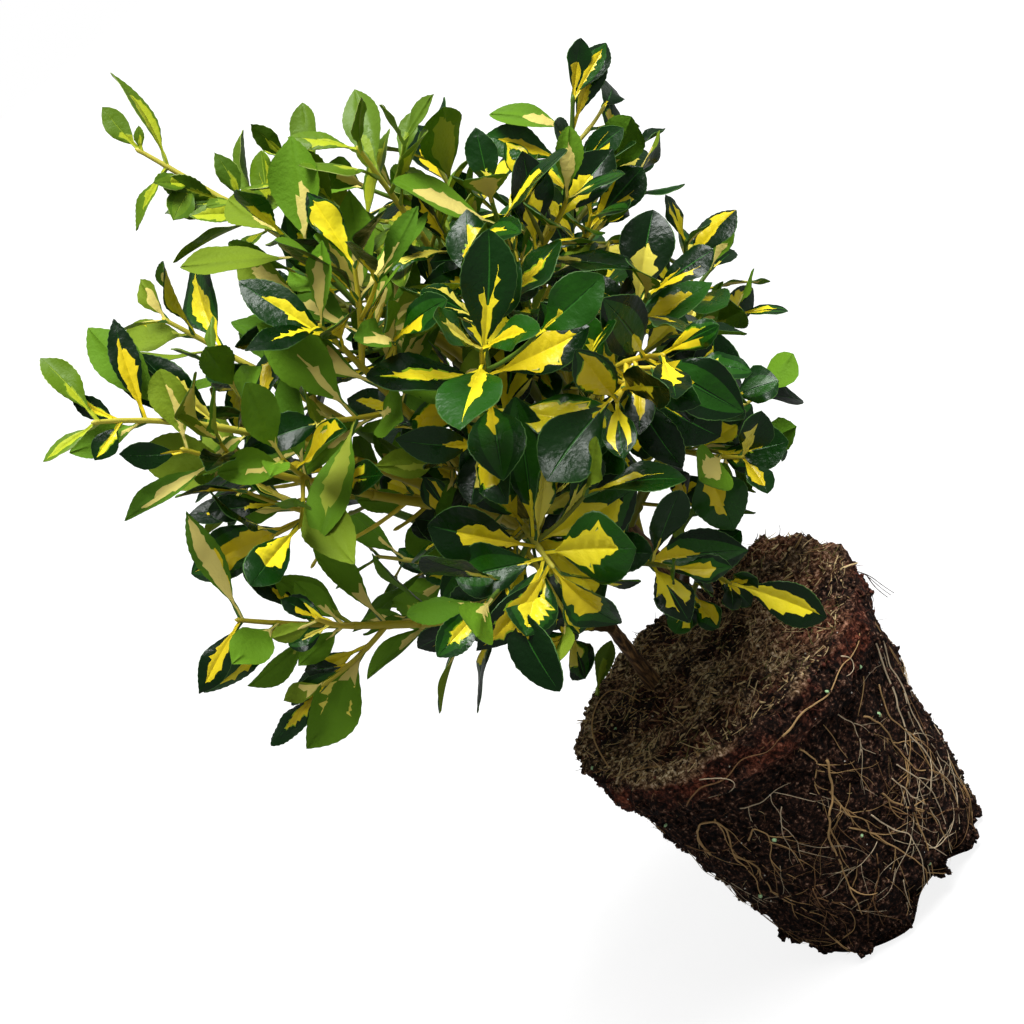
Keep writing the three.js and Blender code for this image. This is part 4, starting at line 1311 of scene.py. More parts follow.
def blotch(rng, grid, chosen=None):
    """Lines and cells of a leaf's two sides, for both halves."""
    drawn = draw_from(rng, {name: kind["share"] for name, kind in BLOTCHES.items()})
    kind = BLOTCHES[chosen or drawn]
    look = SimpleNamespace(
        extent=rng.uniform(*kind["extent"]),
        end=rng.uniform(*kind["end"]),
        wedge_start=rng.uniform(*WEDGE_STARTS) if kind is BLOTCHES["fork"] else NO_WEDGE,
        fringe=rng.random() < FRINGE_CHANCE,
        green=PALER_GREEN if rng.random() < PALER_CHANCE else GREEN,
        fade_through=rng.uniform(*FADES_THROUGH),
        shows_through=rng.uniform(*SHOWS_THROUGH),
        weak_chance=0 if chosen else WEAK["chance"])
    left, right = (half_leaf(rng, grid, look) for _ in range(2))
    lines = [np.hstack([-left[i][:, ::-1], right[i][:, 1:]]) for i in (0, 1)]
    cells = [np.hstack([left[i][:, ::-1], right[i]]) for i in (2, 3)]
    return lines, cells


# %% [markdown]
# ## Colours dealt out by leaf
# Each leaf draws one green, one gold, one green for its underside and one cream, so that
# neighbours differ as they do on the plant. Young leaves are lighter and their gold is greenish,
# because their pigments are still forming.

# %% Colours of a leaf
YOUNG_GREENS = {"young_green": 0.6, "young_deep_green": 0.4}
GREENS = {"wax_deep_green": 0.45, "wax_green": 0.4, "wax_fresh_green": 0.15}
GOLDS = {"wax_bright_gold": 0.45, "wax_gold": 0.4, "wax_pale_gold": 0.15}
UNDER_GREENS = {"under_green": 0.45, "under_deep_green": 0.3, "under_olive": 0.25}
UNDER_PALES = {"under_cream": 0.8, "under_lime": 0.2}


def colours(rng, young):
    """The finishes of one leaf for its upper side, its underside and its rim."""
    if young:
        upper = (draw_from(rng, YOUNG_GREENS), "young_gold", "young_rib", "young_rib", "young_green")
        return upper, ("young_under", "young_rib"), "young_edge"
    upper = (draw_from(rng, GREENS), draw_from(rng, GOLDS), "wax_lime", "wax_rib", "wax_fresh_green")
    return upper, (draw_from(rng, UNDER_GREENS), draw_from(rng, UNDER_PALES)), "leaf_edge"


# %% Adding a leaf
def add_leaf(heap, leaf, rng):
    """Draw a leaf's colours, blotch and habit, and add its blade to a heap."""
    grid = SMALL_GRID if leaf.length < SMALL_LEAF else FINE_GRID
    *side_names, edge_name = colours(rng, leaf.young)
    lines, cells = blotch(rng, grid, leaf.blotch_kind)
    finishes = [np.repeat(np.array([LEAF_FINISH[name] for name in names])[side.ravel()], 2)
                for names, side in zip(side_names, cells)]
    finishes = np.concatenate([*finishes, np.full(grid.rows * 4, LEAF_FINISH[edge_name])])
    points = blade_points(leaf, grid, blade_habit(rng, leaf.shape), *lines)
    heap.add(points, grid.triangles[grid.kept], finishes[grid.kept])


# %% [markdown]
# ## Leaves of each region
# Each piece of leaves stands in for the plain masses of its side of the crown. The crown's
# leaves are broad, those at the left narrower and more folded, and young ones pointed. At the
# left most leaves turn their pale underside to the eye, because there the crown is seen from
# below. A few shoots are reined in, so that their outer leaves keep to the outline. One twig is
# cut off, and two shoots have no leaves low and far out, where there is open air.

# %% Regions and habits
LEAF_PIECES = {
    "leaves_young": YOUNG_SHOOTS,
    "leaves_top": ("top_left", "top_middle", "high_back", "right_top", "back_top"),
    "leaves_left": ("left_back", "left_front", "low_left", "low_middle", "low_centre", "centre_left"),
    "leaves_front": ("front_rosette", "right_rosette", "basal", "centre_front", "right_front", "low_front"),
    "leaves_right": ("right_back", "right_middle", "right_low", "back_low_right", "back_high_right"),
    "leaves_back": ("back_middle", "back_low_left", "back_high_left"),
}
LEFT_SHOOTS = ("left_back", "left_front", "low_left", "low_middle", "centre_left", "top_left", "high_middle",
               "far_left", "high_left")
YOUNG_RANKS = {"far_left": 0}
TURNED_LEFT, TURNED_ELSEWHERE = 0.63, 0.07
TURNED_SHARES = {"top_left": 0.85, "low_left": 0.7, "centre_front": 0.0}
SHAPES = {"crown": {"width": 1.06, "length": 0.92, "points": (0.68, 1.05), "fold": 0.36, "twist": 26},
          "left": {"width": 0.96, "length": 1, "points": (0.75, 1.2), "fold": 0.5, "twist": 42},
          "young": {"width": 0.94, "length": 1, "points": (0.85, 1.25), "fold": 0.45, "twist": 36}}
REINED_IN = {"right_middle": 0.72, "far_left": 0.9, "right_top": 0.9, "basal": 0.75, "low_centre": 0.85}
REINED_RANKS = 3
CUT_TWIGS = ("twig_low_front_1",)
OPEN_BELOW, OPEN_BEYOND = {"left_front": 277, "back_high_left": 267}, 62


def in_open_air(leaf):
    """Whether a leaf hangs in the open space between the left side and the lowest sprig."""
    middle = leaf.root + leaf.along * leaf.length / 2
    return middle.z < OPEN_BELOW.get(leaf.shoot.name, 0) and middle.xy.length > OPEN_BEYOND


# %% Leaf pieces
LEAF_SEED = 60
WIDTHS_VARY = (0.86, 1.06)

leaves = [leaf for leaf in leaves if leaf.bud.twig.name not in CUT_TWIGS and not in_open_air(leaf)]
rng = np.random.default_rng(LEAF_SEED)
for leaf in leaves:
    name = leaf.shoot.name
    usual = TURNED_LEFT if name in LEFT_SHOOTS else TURNED_ELSEWHERE
    turned = 0 if leaf.posed else TURNED_SHARES.get(name, usual)
    leaf.face = -1 if rng.random() < turned else leaf.face
    leaf.shape = SHAPES["young" if name in YOUNG_SHOOTS else "left" if name in LEFT_SHOOTS else "crown"]
    leaf.length *= leaf.shape["length"]
    if leaf.bud.rank < REINED_RANKS and not leaf.posed:
        leaf.length *= REINED_IN.get(name, 1)
    leaf.width *= leaf.shape["width"] * rng.uniform(*WIDTHS_VARY)
    leaf.young = name in YOUNG_SHOOTS and leaf.bud.rank <= YOUNG_RANKS.get(name, leaf.bud.rank)
for name, members in LEAF_PIECES.items():
    heap = Heap()
    for leaf in leaves:
        if leaf.shoot.name in members:
            add_leaf(heap, leaf, rng)
    slot = "young_foliage" if name == "leaves_young" else "foliage"
    heap.make(name, LEAF_FINISHES, slot, [f"mass_{member}" for member in members])

# %% [markdown]
# ## Twigs and boughs
# Young spindle shoots are round to four-ridged and smooth, and swell at each node, where a pair
# of leaves sat or still sits. A tube along the true curve gets rings close together, so that
# nodes and ridges show in its outline. Boughs near the soil have turned brown, the middle ones
# are olive, and the strong young ones are golden like the leaf centres.

# %% A limb's tube
NODE_SWELL, NODE_REACH, RIDGES = 0.22, 1.1, 0.05
FEWEST_RINGS, PLAIN_FOOT = 4, 0.02
BUD_RINGS = ((0.5, 0.8), (1, 0.25))


def limb_tube(heap, limb, nodes, spacing, sides, finish, tip=0.0):
    """A tube along a limb, with ridges, a swelling at each node and a bud at its tip."""
    curve = limb.curve
    length = (curve.point(limb.end) - curve.point(limb.start)).length
    shares = np.linspace(0, 1, max(FEWEST_RINGS, round(length / spacing)) + 1)
    points = [curve.point(mix(limb.start, limb.end, share)) for share in shares]
    nearest = np.abs(shares * nodes - np.round(shares * nodes)) * length / max(nodes, 1)
    swell = 1 + NODE_SWELL * np.exp(-(nearest / NODE_REACH) ** 2) * (shares > PLAIN_FOOT)
    around = np.interp(shares, np.linspace(0, 1, len(limb.radii)), limb.radii) * swell
    turns = np.arange(sides) * 2 * math.pi / sides
    around = around[:, None] * (1 + RIDGES * np.cos(4 * turns))
    if tip:
        bud = curve.along(limb.end) * tip
        points += [points[-1] + bud * reach for reach, _ in BUD_RINGS]
        around = np.vstack([around, *(around[-1] * size for _, size in BUD_RINGS)])
    points, triangles = tube(points, around, sides)
    heap.add(points, triangles, TWIG_FINISH[finish])


# %% Which bark a limb has
BROWN_BOUGHS = ("basal", "low_centre", "right_low")
GOLDEN_BOUGHS = ("far_left", "centre_left", "left_front", "low_left", "right_rosette", "high_left_tip")


def twig_palette(name):
    """The finishes that the twigs of a shoot may have."""
    if name in YOUNG_SHOOTS:
        return "twig_lime", "twig_pale_gold"
    if name in GOLDEN_BOUGHS:
        return "twig_gold", "twig_bright_gold"
    return "twig_gold", "twig_olive", "twig_green", "twig_pale_gold"


def bough_finish(rng, name):
    """The finish of a shoot's bough."""
    if name in BROWN_BOUGHS:
        return "twig_brown"
    if name in GOLDEN_BOUGHS:
        return "twig_gold"
    return draw_from(rng, {"twig_olive": 0.5, "twig_gold": 0.3, "twig_green": 0.2})


# %% Twigs and boughs
TWIG_SEED = 90
TWIG_RING_SPACING, TWIG_SIDES, BUD_LENGTH = 2.2, 7, 1.6
BOUGH_RING_SPACING, BOUGH_SIDES = 1.3, 12

rng = np.random.default_rng(TWIG_SEED)
twig_heap, bough_heap = Heap(), Heap()
for shoot in shoots:
    palette = twig_palette(shoot.name)
    for twig in shoot.grown_twigs + shoot.spurs:
        finish = rng.choice(palette)
        if twig.name not in CUT_TWIGS:
            limb_tube(twig_heap, twig, twig.nodes, TWIG_RING_SPACING, TWIG_SIDES, finish, BUD_LENGTH)
    bough = limbs[shoot.name]
    if bough.end > 0:
        nodes = round((bough.stops[-1].point - bough.stops[0].point).length / NODE_SPACING)
        limb_tube(bough_heap, bough, nodes, BOUGH_RING_SPACING, BOUGH_SIDES, bough_finish(rng, shoot.name))
twig_heap.make("twigs", TWIG_FINISHES, "green_bark", [f"mass_{shoot.name}" for shoot in shoots])
bough_heap.make("boughs", TWIG_FINISHES, "green_bark",
                [f"bough_{shoot.name}" for shoot in shoots if limbs[shoot.name].end > 0])

# %% [markdown]
# ## Stems with cracked bark
# The two stems are the oldest wood. Their bark has split lengthwise, so the surface is pushed in
# and out by noise that is stretched along the stem. Slower noise makes it uneven, and a faint
# ring of scars marks each old node. They flare at the soil and go on a little below it.

# %% Relief of the bark
CRACK_DEPTH, CRACK_STRETCH, CRACK_FINENESS = 0.34, 0.16, 1.9
LUMP_DEPTH, LUMP_STRETCH, LUMP_FINENESS = 0.25, 0.1, 0.5
SCAR_SPACING, SCAR_REACH, SCAR_HEIGHT = 17, 1.3, 0.3


def bark_relief(turn, radius, height):
    """How far the bark stands out, with slow lumps and lengthwise cracks."""
    across = Vector((math.cos(turn) * radius, math.sin(turn) * radius))
    lumps = noise.noise(Vector((*across, height * LUMP_STRETCH)) * LUMP_FINENESS)
    cracks = noise.noise(Vector((*across, height * CRACK_STRETCH)) * CRACK_FINENESS)
    return LUMP_DEPTH * lumps - CRACK_DEPTH * abs(cracks) ** 0.5


# %% Stems
STEM_SIDES, STEM_RING_SPACING = 28, 1.0
BELOW_SOIL, BELOW_SOIL_SWELL = 5, 1.1

for name in STEMS:
    curve = limbs[name].curve
    length = (curve.tip - curve.foot).length
    shares = np.linspace(0, 1, round(length / STEM_RING_SPACING) + 1)
    points = [curve.point(share) for share in shares]
    points = [points[0] - Vector((0, 0, depth)) for depth in (BELOW_SOIL, BELOW_SOIL / 2)] + points
    radii = np.array([flared(STEMS[name], share, length) for share in shares])
    radii = np.concatenate([[radii[0] * BELOW_SOIL_SWELL] * 2, radii])
    turns = np.arange(STEM_SIDES) * 2 * math.pi / STEM_SIDES
    relief = np.array([[bark_relief(turn, radius, place.z) for turn in turns]
                       for place, radius in zip(points, radii)])
    heights = np.array([place.z for place in points]) - SOIL_HEIGHT
    scars = np.exp(-((heights % SCAR_SPACING - SCAR_SPACING / 2) / SCAR_REACH) ** 2) * SCAR_HEIGHT
    heap = Heap()
    heap.add(*tube(points, radii[:, None] + CRACK_DEPTH / 2 + relief + scars[:, None], STEM_SIDES), 0)
    heap.make(f"{name}_bark", [BARK], "bark", [name])

# %% [markdown]
# ## The root ball
# Peat keeps the shape of the pot: a taper, a step where the pot's collar was, and a rim. The
# profile below is turned round the plant's axis. Rows of points follow it at even steps, and each
# row knows the way out of the surface, so that peat can be pushed out or in from there.

# %% Profile of the root ball
UNDERSIDE_RADIUS, BALL_SPACING = 40, 1.25
BALL_PROFILE = [
    (0, 0), (UNDERSIDE_RADIUS, 0), (45.5, 9), (50.2, 39.7), (54.8, 70.3), (59.5, 101), (63.5, LIP_HEIGHT),
    (63.5, SOIL_HEIGHT), (59.5, SOIL_HEIGHT + 2), (50, SOIL_HEIGHT), (0.5, SOIL_HEIGHT)]

profile = np.array(BALL_PROFILE, float)
arc = np.concatenate([[0], np.cumsum(np.linalg.norm(np.diff(profile, axis=0), axis=1))])
ball_rows = round(arc[-1] / BALL_SPACING)
ROW_ARC = np.linspace(0, arc[-1], ball_rows + 1)
ROW_RADIUS, ROW_HEIGHT = (np.interp(ROW_ARC, arc, profile[:, axis]) for axis in (0, 1))
slope_radius, slope_height = np.gradient(ROW_RADIUS), np.gradient(ROW_HEIGHT)
steepness = np.hypot(slope_radius, slope_height)
ROW_OUT, ROW_UP = slope_height / steepness, -slope_radius / steepness
print("rows of the ball:", ball_rows)

# %% [markdown]
# ## Crumbling peat
# Out of the pot the peat crumbles. Slow noise gives hollows, and rounded grains of two sizes give
# clods. Chunks come off at the lower edge, one large notch is broken out of it, and the rim has a
# lump on its far side. Only the underside that the ball stands on stays flat.

# %% Clods
HOLLOW_SIZES = ((2.2, 14), (1.0, 6))
CLOD_SIZES, CLOD_FALL, CLOD_MEAN = ((1.5, 6.5), (0.95, 2.9)), 1.5, 1.1


def clods(at):
    """How far crumbly peat stands out, in millimetres: slow hollows, and clods that are rounded
    because they follow the distance from their middle."""
    push = sum(depth * noise.noise(at / size) for depth, size in HOLLOW_SIZES)
    for depth, size in CLOD_SIZES:
        push += depth * (1 - CLOD_FALL * noise.voronoi(at / size)[0][0])
    return push - CLOD_MEAN


def apart_from(azimuth, other):
    """The angle from another azimuth, between -180 and 180 degrees."""
    return (azimuth - other + 180) % 360 - 180


# %% Places on the ball
NOTCH = {"azimuth": -70, "half_width": 23, "depth": 11, "height": 18, "inner": 24, "slope": 16}
CHIPS = {"below": 16, "depth": 6, "size": 11, "most": 3, "sunk": 1.2, "middle": 5, "reach": 7}
RIM_LUMP = {"azimuth": 30, "height": 9, "half_width": 24, "full_from": 45}
RIM_BAND, RIM_ROUGHNESS, LUMP_ROUGHNESS = 4, 1.2, 0.4


def ball_base(row, azimuth):
    """A point of the ball's smooth surface, the way out of it, and how far the peat stands out."""
    turn = math.radians(azimuth)
    radius, height = ROW_RADIUS[row], ROW_HEIGHT[row]
    outward = Vector((ROW_OUT[row] * math.cos(turn), ROW_OUT[row] * math.sin(turn), ROW_UP[row]))
    at = Vector((radius * math.cos(turn), radius * math.sin(turn), height))
    notch = math.exp(-(apart_from(azimuth, NOTCH["azimuth"]) / NOTCH["half_width"]) ** 4)
    notch = notch * max(0, 1 - height / NOTCH["height"]) ** 0.5
    if height == 0 and radius <= UNDERSIDE_RADIUS:
        return at, outward, -NOTCH["depth"] * notch * max(0, (radius - NOTCH["inner"]) / NOTCH["slope"])
    push = clods(at) - NOTCH["depth"] * notch * (1 + 0.5 * noise.noise(at / 7))
    if height < CHIPS["below"]:
        chip = CHIPS["depth"] * noise.noise(at / CHIPS["size"] + Vector((5, 2, 9))) - CHIPS["sunk"]
        push += min(CHIPS["most"], chip) * math.exp(-((height - CHIPS["middle"]) / CHIPS["reach"]) ** 2)
    if height > SOIL_HEIGHT - RIM_BAND:
        apart = math.radians(apart_from(azimuth, RIM_LUMP["azimuth"])) * radius
        swell = math.exp(-(apart / RIM_LUMP["half_width"]) ** 2) * min(1, radius / RIM_LUMP["full_from"]) ** 3
        at.z += RIM_LUMP["height"] * swell
        push *= RIM_ROUGHNESS + LUMP_ROUGHNESS * swell
    return at, outward, push


def ball_place(row, azimuth):
    """A point of the rough surface, and the way out of it."""
    at, outward, push = ball_base(row, azimuth)
    at = at + outward * push
    at.z = max(at.z, 0)
    return at, outward


# %% Peat ball
BALL_COLUMNS = 310
PEAT = peat_finish(SOIL_HEIGHT, LIP_HEIGHT)

azimuths = np.arange(BALL_COLUMNS) * 360 / BALL_COLUMNS
ball_points = [ball_place(row, azimuth)[0] for row in range(ball_rows + 1) for azimuth in azimuths]
heap = Heap()
heap.add(ball_points, ring_triangles(ball_rows, BALL_COLUMNS), 0)
heap.make("peat_ball", [PEAT], "peat", ["root_ball"])

# %% [markdown]
# ## Crumbs
# Loose crumbs of peat cling to the surface. Each is a small lumpy ball, half sunk, and they are
# what gives the root ball its granular edge against the light. Small things are strewn by
# weights: a row of the surface has its radius as its weight, since a wide row has more room, or
# none where nothing may lie.

# %% Where small things lie
def weights_of(low, high=200, inner=-1, outer=100):
    """The rows' weights, of which only those between these heights and radii aren't 0."""
    between_heights = (ROW_HEIGHT > low) & (ROW_HEIGHT < high)
    return ROW_RADIUS * (between_heights & (ROW_RADIUS > inner) & (ROW_RADIUS < outer))


PLACE_WEIGHTS, FOOT_WEIGHTS = weights_of(0.5), weights_of(0.5, 9)
SIDE_WEIGHTS = weights_of(3, LIP_HEIGHT - 3)
RIM_WEIGHTS = weights_of(LIP_HEIGHT - 1, inner=58)
TOP_WEIGHTS = weights_of(SOIL_HEIGHT - 2, inner=3, outer=61)


def random_place(weights=PLACE_WEIGHTS):
    """A place on the ball's surface, drawn by the rows' weights, and the way out of it."""
    row = rng.choice(len(ROW_RADIUS), p=weights / weights.sum())
    return ball_place(row, rng.uniform(0, 360))


# %% Lumps
ROUGH, UNEVEN, TALLEST = (0.75, 1.25), (0.6, 1.1), 1.3

shape = bmesh.new()
bmesh.ops.create_icosphere(shape, subdivisions=1, radius=1)
BALL_POINTS = np.array([vert.co[:] for vert in shape.verts])
BALL_TRIANGLES = np.array([[vert.index for vert in face.verts] for face in shape.faces])
shape.free()


def add_lump(heap, at, outward, size, finish, lift=0.1):
    """A lumpy ball, sunk into the surface but for its lift."""
    turned = np.array(Quaternion(rng.normal(size=4)).normalized().to_matrix())
    lump = BALL_POINTS * rng.uniform(*ROUGH, (len(BALL_POINTS), 1)) * rng.uniform(*UNEVEN, 3)
    centre = np.array(at + outward * size * lift)
    centre[2] = max(centre[2], size * TALLEST)
    heap.add(centre + lump @ turned * size, BALL_TRIANGLES, finish)


def scatter(heap, count, sizes, finish, lift=0.1, weights=PLACE_WEIGHTS):
    """Lumps over the surface, most of them of the smaller sizes."""
    for _ in range(count):
        at, outward = random_place(weights)
        add_lump(heap, at, outward, mix(*sizes, rng.random() ** 2), finish, lift)


# %% Crumbs
CRUMB_SEED = 30
CRUMB_COUNT, CRUMB_SIZES = 4200, (0.4, 1.7)
FOOT_CRUMBS, FOOT_CRUMB_SIZES = 700, (0.6, 2.4)

rng = np.random.default_rng(CRUMB_SEED)
heap = Heap()
scatter(heap, CRUMB_COUNT, CRUMB_SIZES, 0)
scatter(heap, FOOT_CRUMBS, FOOT_CRUMB_SIZES, 0, lift=0.35, weights=FOOT_WEIGHTS)
heap.make("peat_crumbs", [PEAT], "peat", ["root_ball"])

# %% [markdown]
# ## Roots over the peat
# Fine roots run down the pot's wall, where they found air and water. Their ages give three
# colours, from nearly white to brown. The thickest ones are listed here, each as a finish, a
# radius and pairs of azimuth and height, because one knows a root ball by them.

# %% Traces of roots
ROOT_TRACES = [
    ("root_tan", 0.55, [(-83, 89), (-87, 78), (-92, 72), (-100, 62), (-103, 51), (-108, 36), (-112, 22)]),
    ("root_tan", 0.34, [(-88, 100), (-86, 90), (-92, 84), (-89, 77)]),
    ("root_tan", 0.36, [(-89, 76), (-89, 63), (-85, 56), (-87, 47), (-83, 40)]),
    ("root_tan", 0.5, [(-147, 74), (-145, 84), (-136, 92), (-130, 91), (-130, 83), (-137, 72), (-140, 56),
                       (-146, 44)]),
    ("root_tan", 0.38, [(-137, 72), (-134, 63), (-139, 47), (-133, 36), (-128, 25)]),
    ("root_pale", 0.36, [(-36, 101), (-41, 80), (-46, 65), (-43, 44), (-38, 28), (-50, 16)]),
    ("root_pale", 0.3, [(-31, 98), (-34, 76), (-38, 58), (-34, 40), (-27, 22)]),
    ("root_tan", 0.36, [(-62, 89), (-57, 80), (-55, 68), (-54, 53), (-42, 40), (-36, 28)]),
    ("root_tan", 0.42, [(-74, 62), (-72, 54), (-66, 43), (-70, 28), (-76, 14)]),
    ("root_pale", 0.3, [(-82, 56), (-80, 48), (-74, 38), (-76, 26), (-82, 14)]),
    ("root_tan", 0.4, [(-92, 58), (-87, 52), (-82, 37), (-77, 22), (-80, 12)]),
    ("root_tan", 0.36, [(-126, 76), (-120, 82), (-117, 77), (-120, 70), (-126, 62), (-122, 50)]),
    ("root_brown", 0.3, [(-90, 42), (-94, 34), (-101, 29), (-112, 20)]),
    ("root_brown", 0.3, [(-120, 44), (-123, 36), (-125, 22)]),
    ("root_brown", 0.34, [(-130, 106), (-121, 111), (-113, 109), (-104, 112), (-96, 109), (-88, 111)]),
    ("root_tan", 0.42, [(-90, 110), (-80, 112), (-70, 109), (-61, 112), (-52, 110), (-44, 112)]),
    ("root_pale", 0.25, [(-120, 113), (-113, 110), (-110, 106), (-116, 103), (-122, 105)]),
    ("root_pale", 0.25, [(-58, 114), (-55, 110), (-57, 106), (-61, 108)]),
    ("root_pale", 0.26, [(-60, 62), (-56, 50), (-52, 38), (-55, 26), (-62, 14)]),
    ("root_pale", 0.24, [(-66, 60), (-62, 46), (-58, 34), (-60, 20)]),
    ("root_tan", 0.3, [(-46, 88), (-50, 76), (-44, 60), (-47, 46), (-40, 34), (-44, 20)]),
    ("root_pale", 0.22, [(-106, 84), (-112, 76), (-110, 68), (-116, 58)]),
    ("root_pale", 0.24, [(-118, 92), (-110, 90), (-103, 92), (-97, 90)]),
    ("root_pale", 0.22, [(-70, 98), (-66, 88), (-70, 80), (-64, 70)]),
]
print("traced roots:", len(ROOT_TRACES))

# %% [markdown]
# ## How a root lies
# A root is springy, so it lies on the lumps without following every hollow: it takes the highest
# of its neighbours' heights, and is then smoothed. A traced root wavers a little between its
# pairs. The rest wander with small turns of their heading.

# %% Strands
ROOT_STEP, ROOT_SIDES, ROOT_SUNK = 1.5, 5, -0.09
BRIDGED, SMOOTHINGS = 3, (4, 2)
SIDE_ROWS = np.flatnonzero((ROW_HEIGHT > 3) & (ROW_HEIGHT < SOIL_HEIGHT - 2))


def side_row(height):
    """The row of the ball's side that is nearest to a height."""
    return SIDE_ROWS[np.abs(ROW_HEIGHT[SIDE_ROWS] - height).argmin()]


def lie_on_lumps(places):
    """A line of points over rough ground, which bridges the hollows."""
    pushes = np.array([push for _, _, push in places])
    padded = np.pad(pushes, BRIDGED, mode="edge")
    tops = np.max([padded[i:i + len(pushes)] for i in range(2 * BRIDGED + 1)], axis=0)
    for _ in range(SMOOTHINGS[0]):
        tops[1:-1] = (tops[:-2] + 2 * tops[1:-1] + tops[2:]) / 4
    points = np.array([at + outward * (top - ROOT_SUNK) for (at, outward, _), top in zip(places, tops)])
    for _ in range(SMOOTHINGS[1]):
        points[1:-1] = (points[:-2] + 2 * points[1:-1] + points[2:]) / 4
    return points


def add_strand(heap, points, foot_radius, tip_radius, finish, sides=ROOT_SIDES):
    """A root or a straw along a line of points, uneven in its thickness."""
    if len(points) < 4:
        return
    radii = np.linspace(foot_radius, tip_radius, len(points)) * rng.uniform(0.85, 1.15, len(points))
    strand, triangles = tube(points, radii, sides)
    strand[:, 2] = np.maximum(strand[:, 2], 0.1)
    heap.add(strand, triangles, FIBRE_FINISH[finish])


# %% Wandering and traced roots
TRACE_WAVER = 1.6


def wandering(azimuth, height, heading, steps, wander=0.15):
    """Places along a root that wanders over the side. A heading of -90 degrees is straight down."""
    places = []
    for _ in range(steps):
        places.append(ball_base(side_row(height), azimuth))
        height += math.sin(heading) * ROOT_STEP
        azimuth += math.degrees(math.cos(heading) * ROOT_STEP / ROW_RADIUS[side_row(height)])
        heading += rng.normal(0, wander)
        if not 4 < height < LIP_HEIGHT - 3:
            break
    return places, heading


def traced(trace):
    """Places along a root that passes through pairs of azimuth and height."""
    azimuths, heights = np.array(trace, float).T
    steps = np.hypot(np.diff(azimuths), np.diff(heights))
    along = np.concatenate([[0], np.cumsum(steps)])
    at = np.arange(0, along[-1], ROOT_STEP)
    wavers = [TRACE_WAVER * noise.noise(Vector((share / 5, heights[0], 0))) for share in at]
    return [ball_base(side_row(height), azimuth + waver) for azimuth, height, waver in
            zip(np.interp(at, along, azimuths), np.interp(at, along, heights), wavers)]


# %% [markdown]
# ## All the roots
# A root forks, and its forks are thinner and may fork again. Most loose roots start low, where
# the pot was wettest.

# %% Roots
ROOT_SEED, ROOT_COUNT, DOWN = 12, 110, -math.pi / 2
ROOT_COLOURS = {"root_tan": 0.4, "root_pale": 0.3, "root_brown": 0.3}
TAPER, FORK_SIZE, TRACE_FORKS = 0.4, 0.62, 3


def add_root(heap, places, radius, colour, heading, forks):
    """A root with forks, each of which may fork again."""
    add_strand(heap, lie_on_lumps(places), radius, radius * TAPER, colour)
    for _ in range(forks if len(places) > 5 else 0):
        start = places[int(rng.uniform(0.15, 0.9) * (len(places) - 1))][0]
        azimuth = math.degrees(math.atan2(start.y, start.x))
        way = heading + rng.choice((-1, 1)) * rng.uniform(0.3, 0.75)
        branch, onward = wandering(azimuth, start.z, way, int(rng.integers(6, 16)))
        if len(branch) > 3:
            add_root(heap, branch, radius * FORK_SIZE, colour, onward, forks // 3)


rng = np.random.default_rng(ROOT_SEED)
heap = Heap()
for colour, radius, trace in ROOT_TRACES:
    add_root(heap, traced(trace), radius, colour, DOWN, TRACE_FORKS)
for _ in range(ROOT_COUNT):
    height = mix(8, LIP_HEIGHT - 5, rng.random() ** 1.25)
    azimuth = rng.uniform(0, 360)
    heading = DOWN + rng.normal(0, 0.45)
    places, heading = wandering(azimuth, height, heading, int(rng.integers(10, 36)))
    colour = draw_from(rng, ROOT_COLOURS)
    add_root(heap, places, mix(0.1, 0.26, rng.random() ** 2), colour, heading, int(rng.integers(0, 4)))
heap.make("surface_roots", FIBRE_FINISHES, "peat", ["root_ball"])

# %% [markdown]
# ## Fibres and grit
# The soil's top is a felt of coir and dry moss, redder round the rim, and the sides show short
# broken fibres. Each felt has its count, its lengths and radii, how steeply its fibres stand,
# and its finishes with their shares. Dust, coir crumbs and grit are strewn between them.

# %% A fibre
FIBRE_SEED = 44
FIBRE_TAPER, FIBRE_STOPS = (1, 1, 0.8, 0.4), (0, 0.33, 0.67, 1)


def add_fibre(heap, weights, length, radius, finish, stand):
    """A short bent fibre that leaves the surface at a low angle."""
    at, outward = random_place(weights)
    sideways = Vector(rng.normal(size=3))
    sideways = (sideways - outward * sideways.dot(outward)).normalized()
    heading = (sideways + outward * rng.uniform(*stand)).normalized()
    bend = Vector(rng.normal(0, 0.35, 3))
    line = [at + heading * length * share + bend * length * share ** 2 for share in FIBRE_STOPS]
    if min(point.z for point in line) > 0.3:
        strand, triangles = tube(line, [radius * share for share in FIBRE_TAPER], 3)
        heap.add(strand, triangles, FIBRE_FINISH[finish])


# %% Felts
# The dust and moss of the top's felt have colours painted lighter, to make up for the crown's shade.
FELTS = [
    {"weights": TOP_WEIGHTS, "count": 1900, "length": (1.2, 6), "radius": (0.09, 0.26), "stand": (-0.1, 0.45),
     "finishes": ("fibre_dust", "root_tan", "fibre_moss", "fibre_dark"), "shares": (0.42, 0.16, 0.17, 0.25)},
    {"weights": TOP_WEIGHTS, "count": 300, "length": (1.5, 5.5), "radius": (0.26, 0.6), "stand": (-0.1, 0.3),
     "finishes": ("fibre_dust", "root_tan", "root_brown"), "shares": (0.5, 0.25, 0.25)},
    {"weights": SIDE_WEIGHTS, "count": 1000, "length": (1, 3.5), "radius": (0.06, 0.14), "stand": (-0.1, 0.3),
     "finishes": ("root_brown", "fibre_dark", "fibre_dust", "root_tan"), "shares": (0.36, 0.44, 0.14, 0.06)},
    {"weights": RIM_WEIGHTS, "count": 420, "length": (1.2, 4), "radius": (0.1, 0.22), "stand": (-0.1, 0.3),
     "finishes": ("coir_red", "root_brown", "fibre_dark"), "shares": (0.5, 0.2, 0.3)},
]

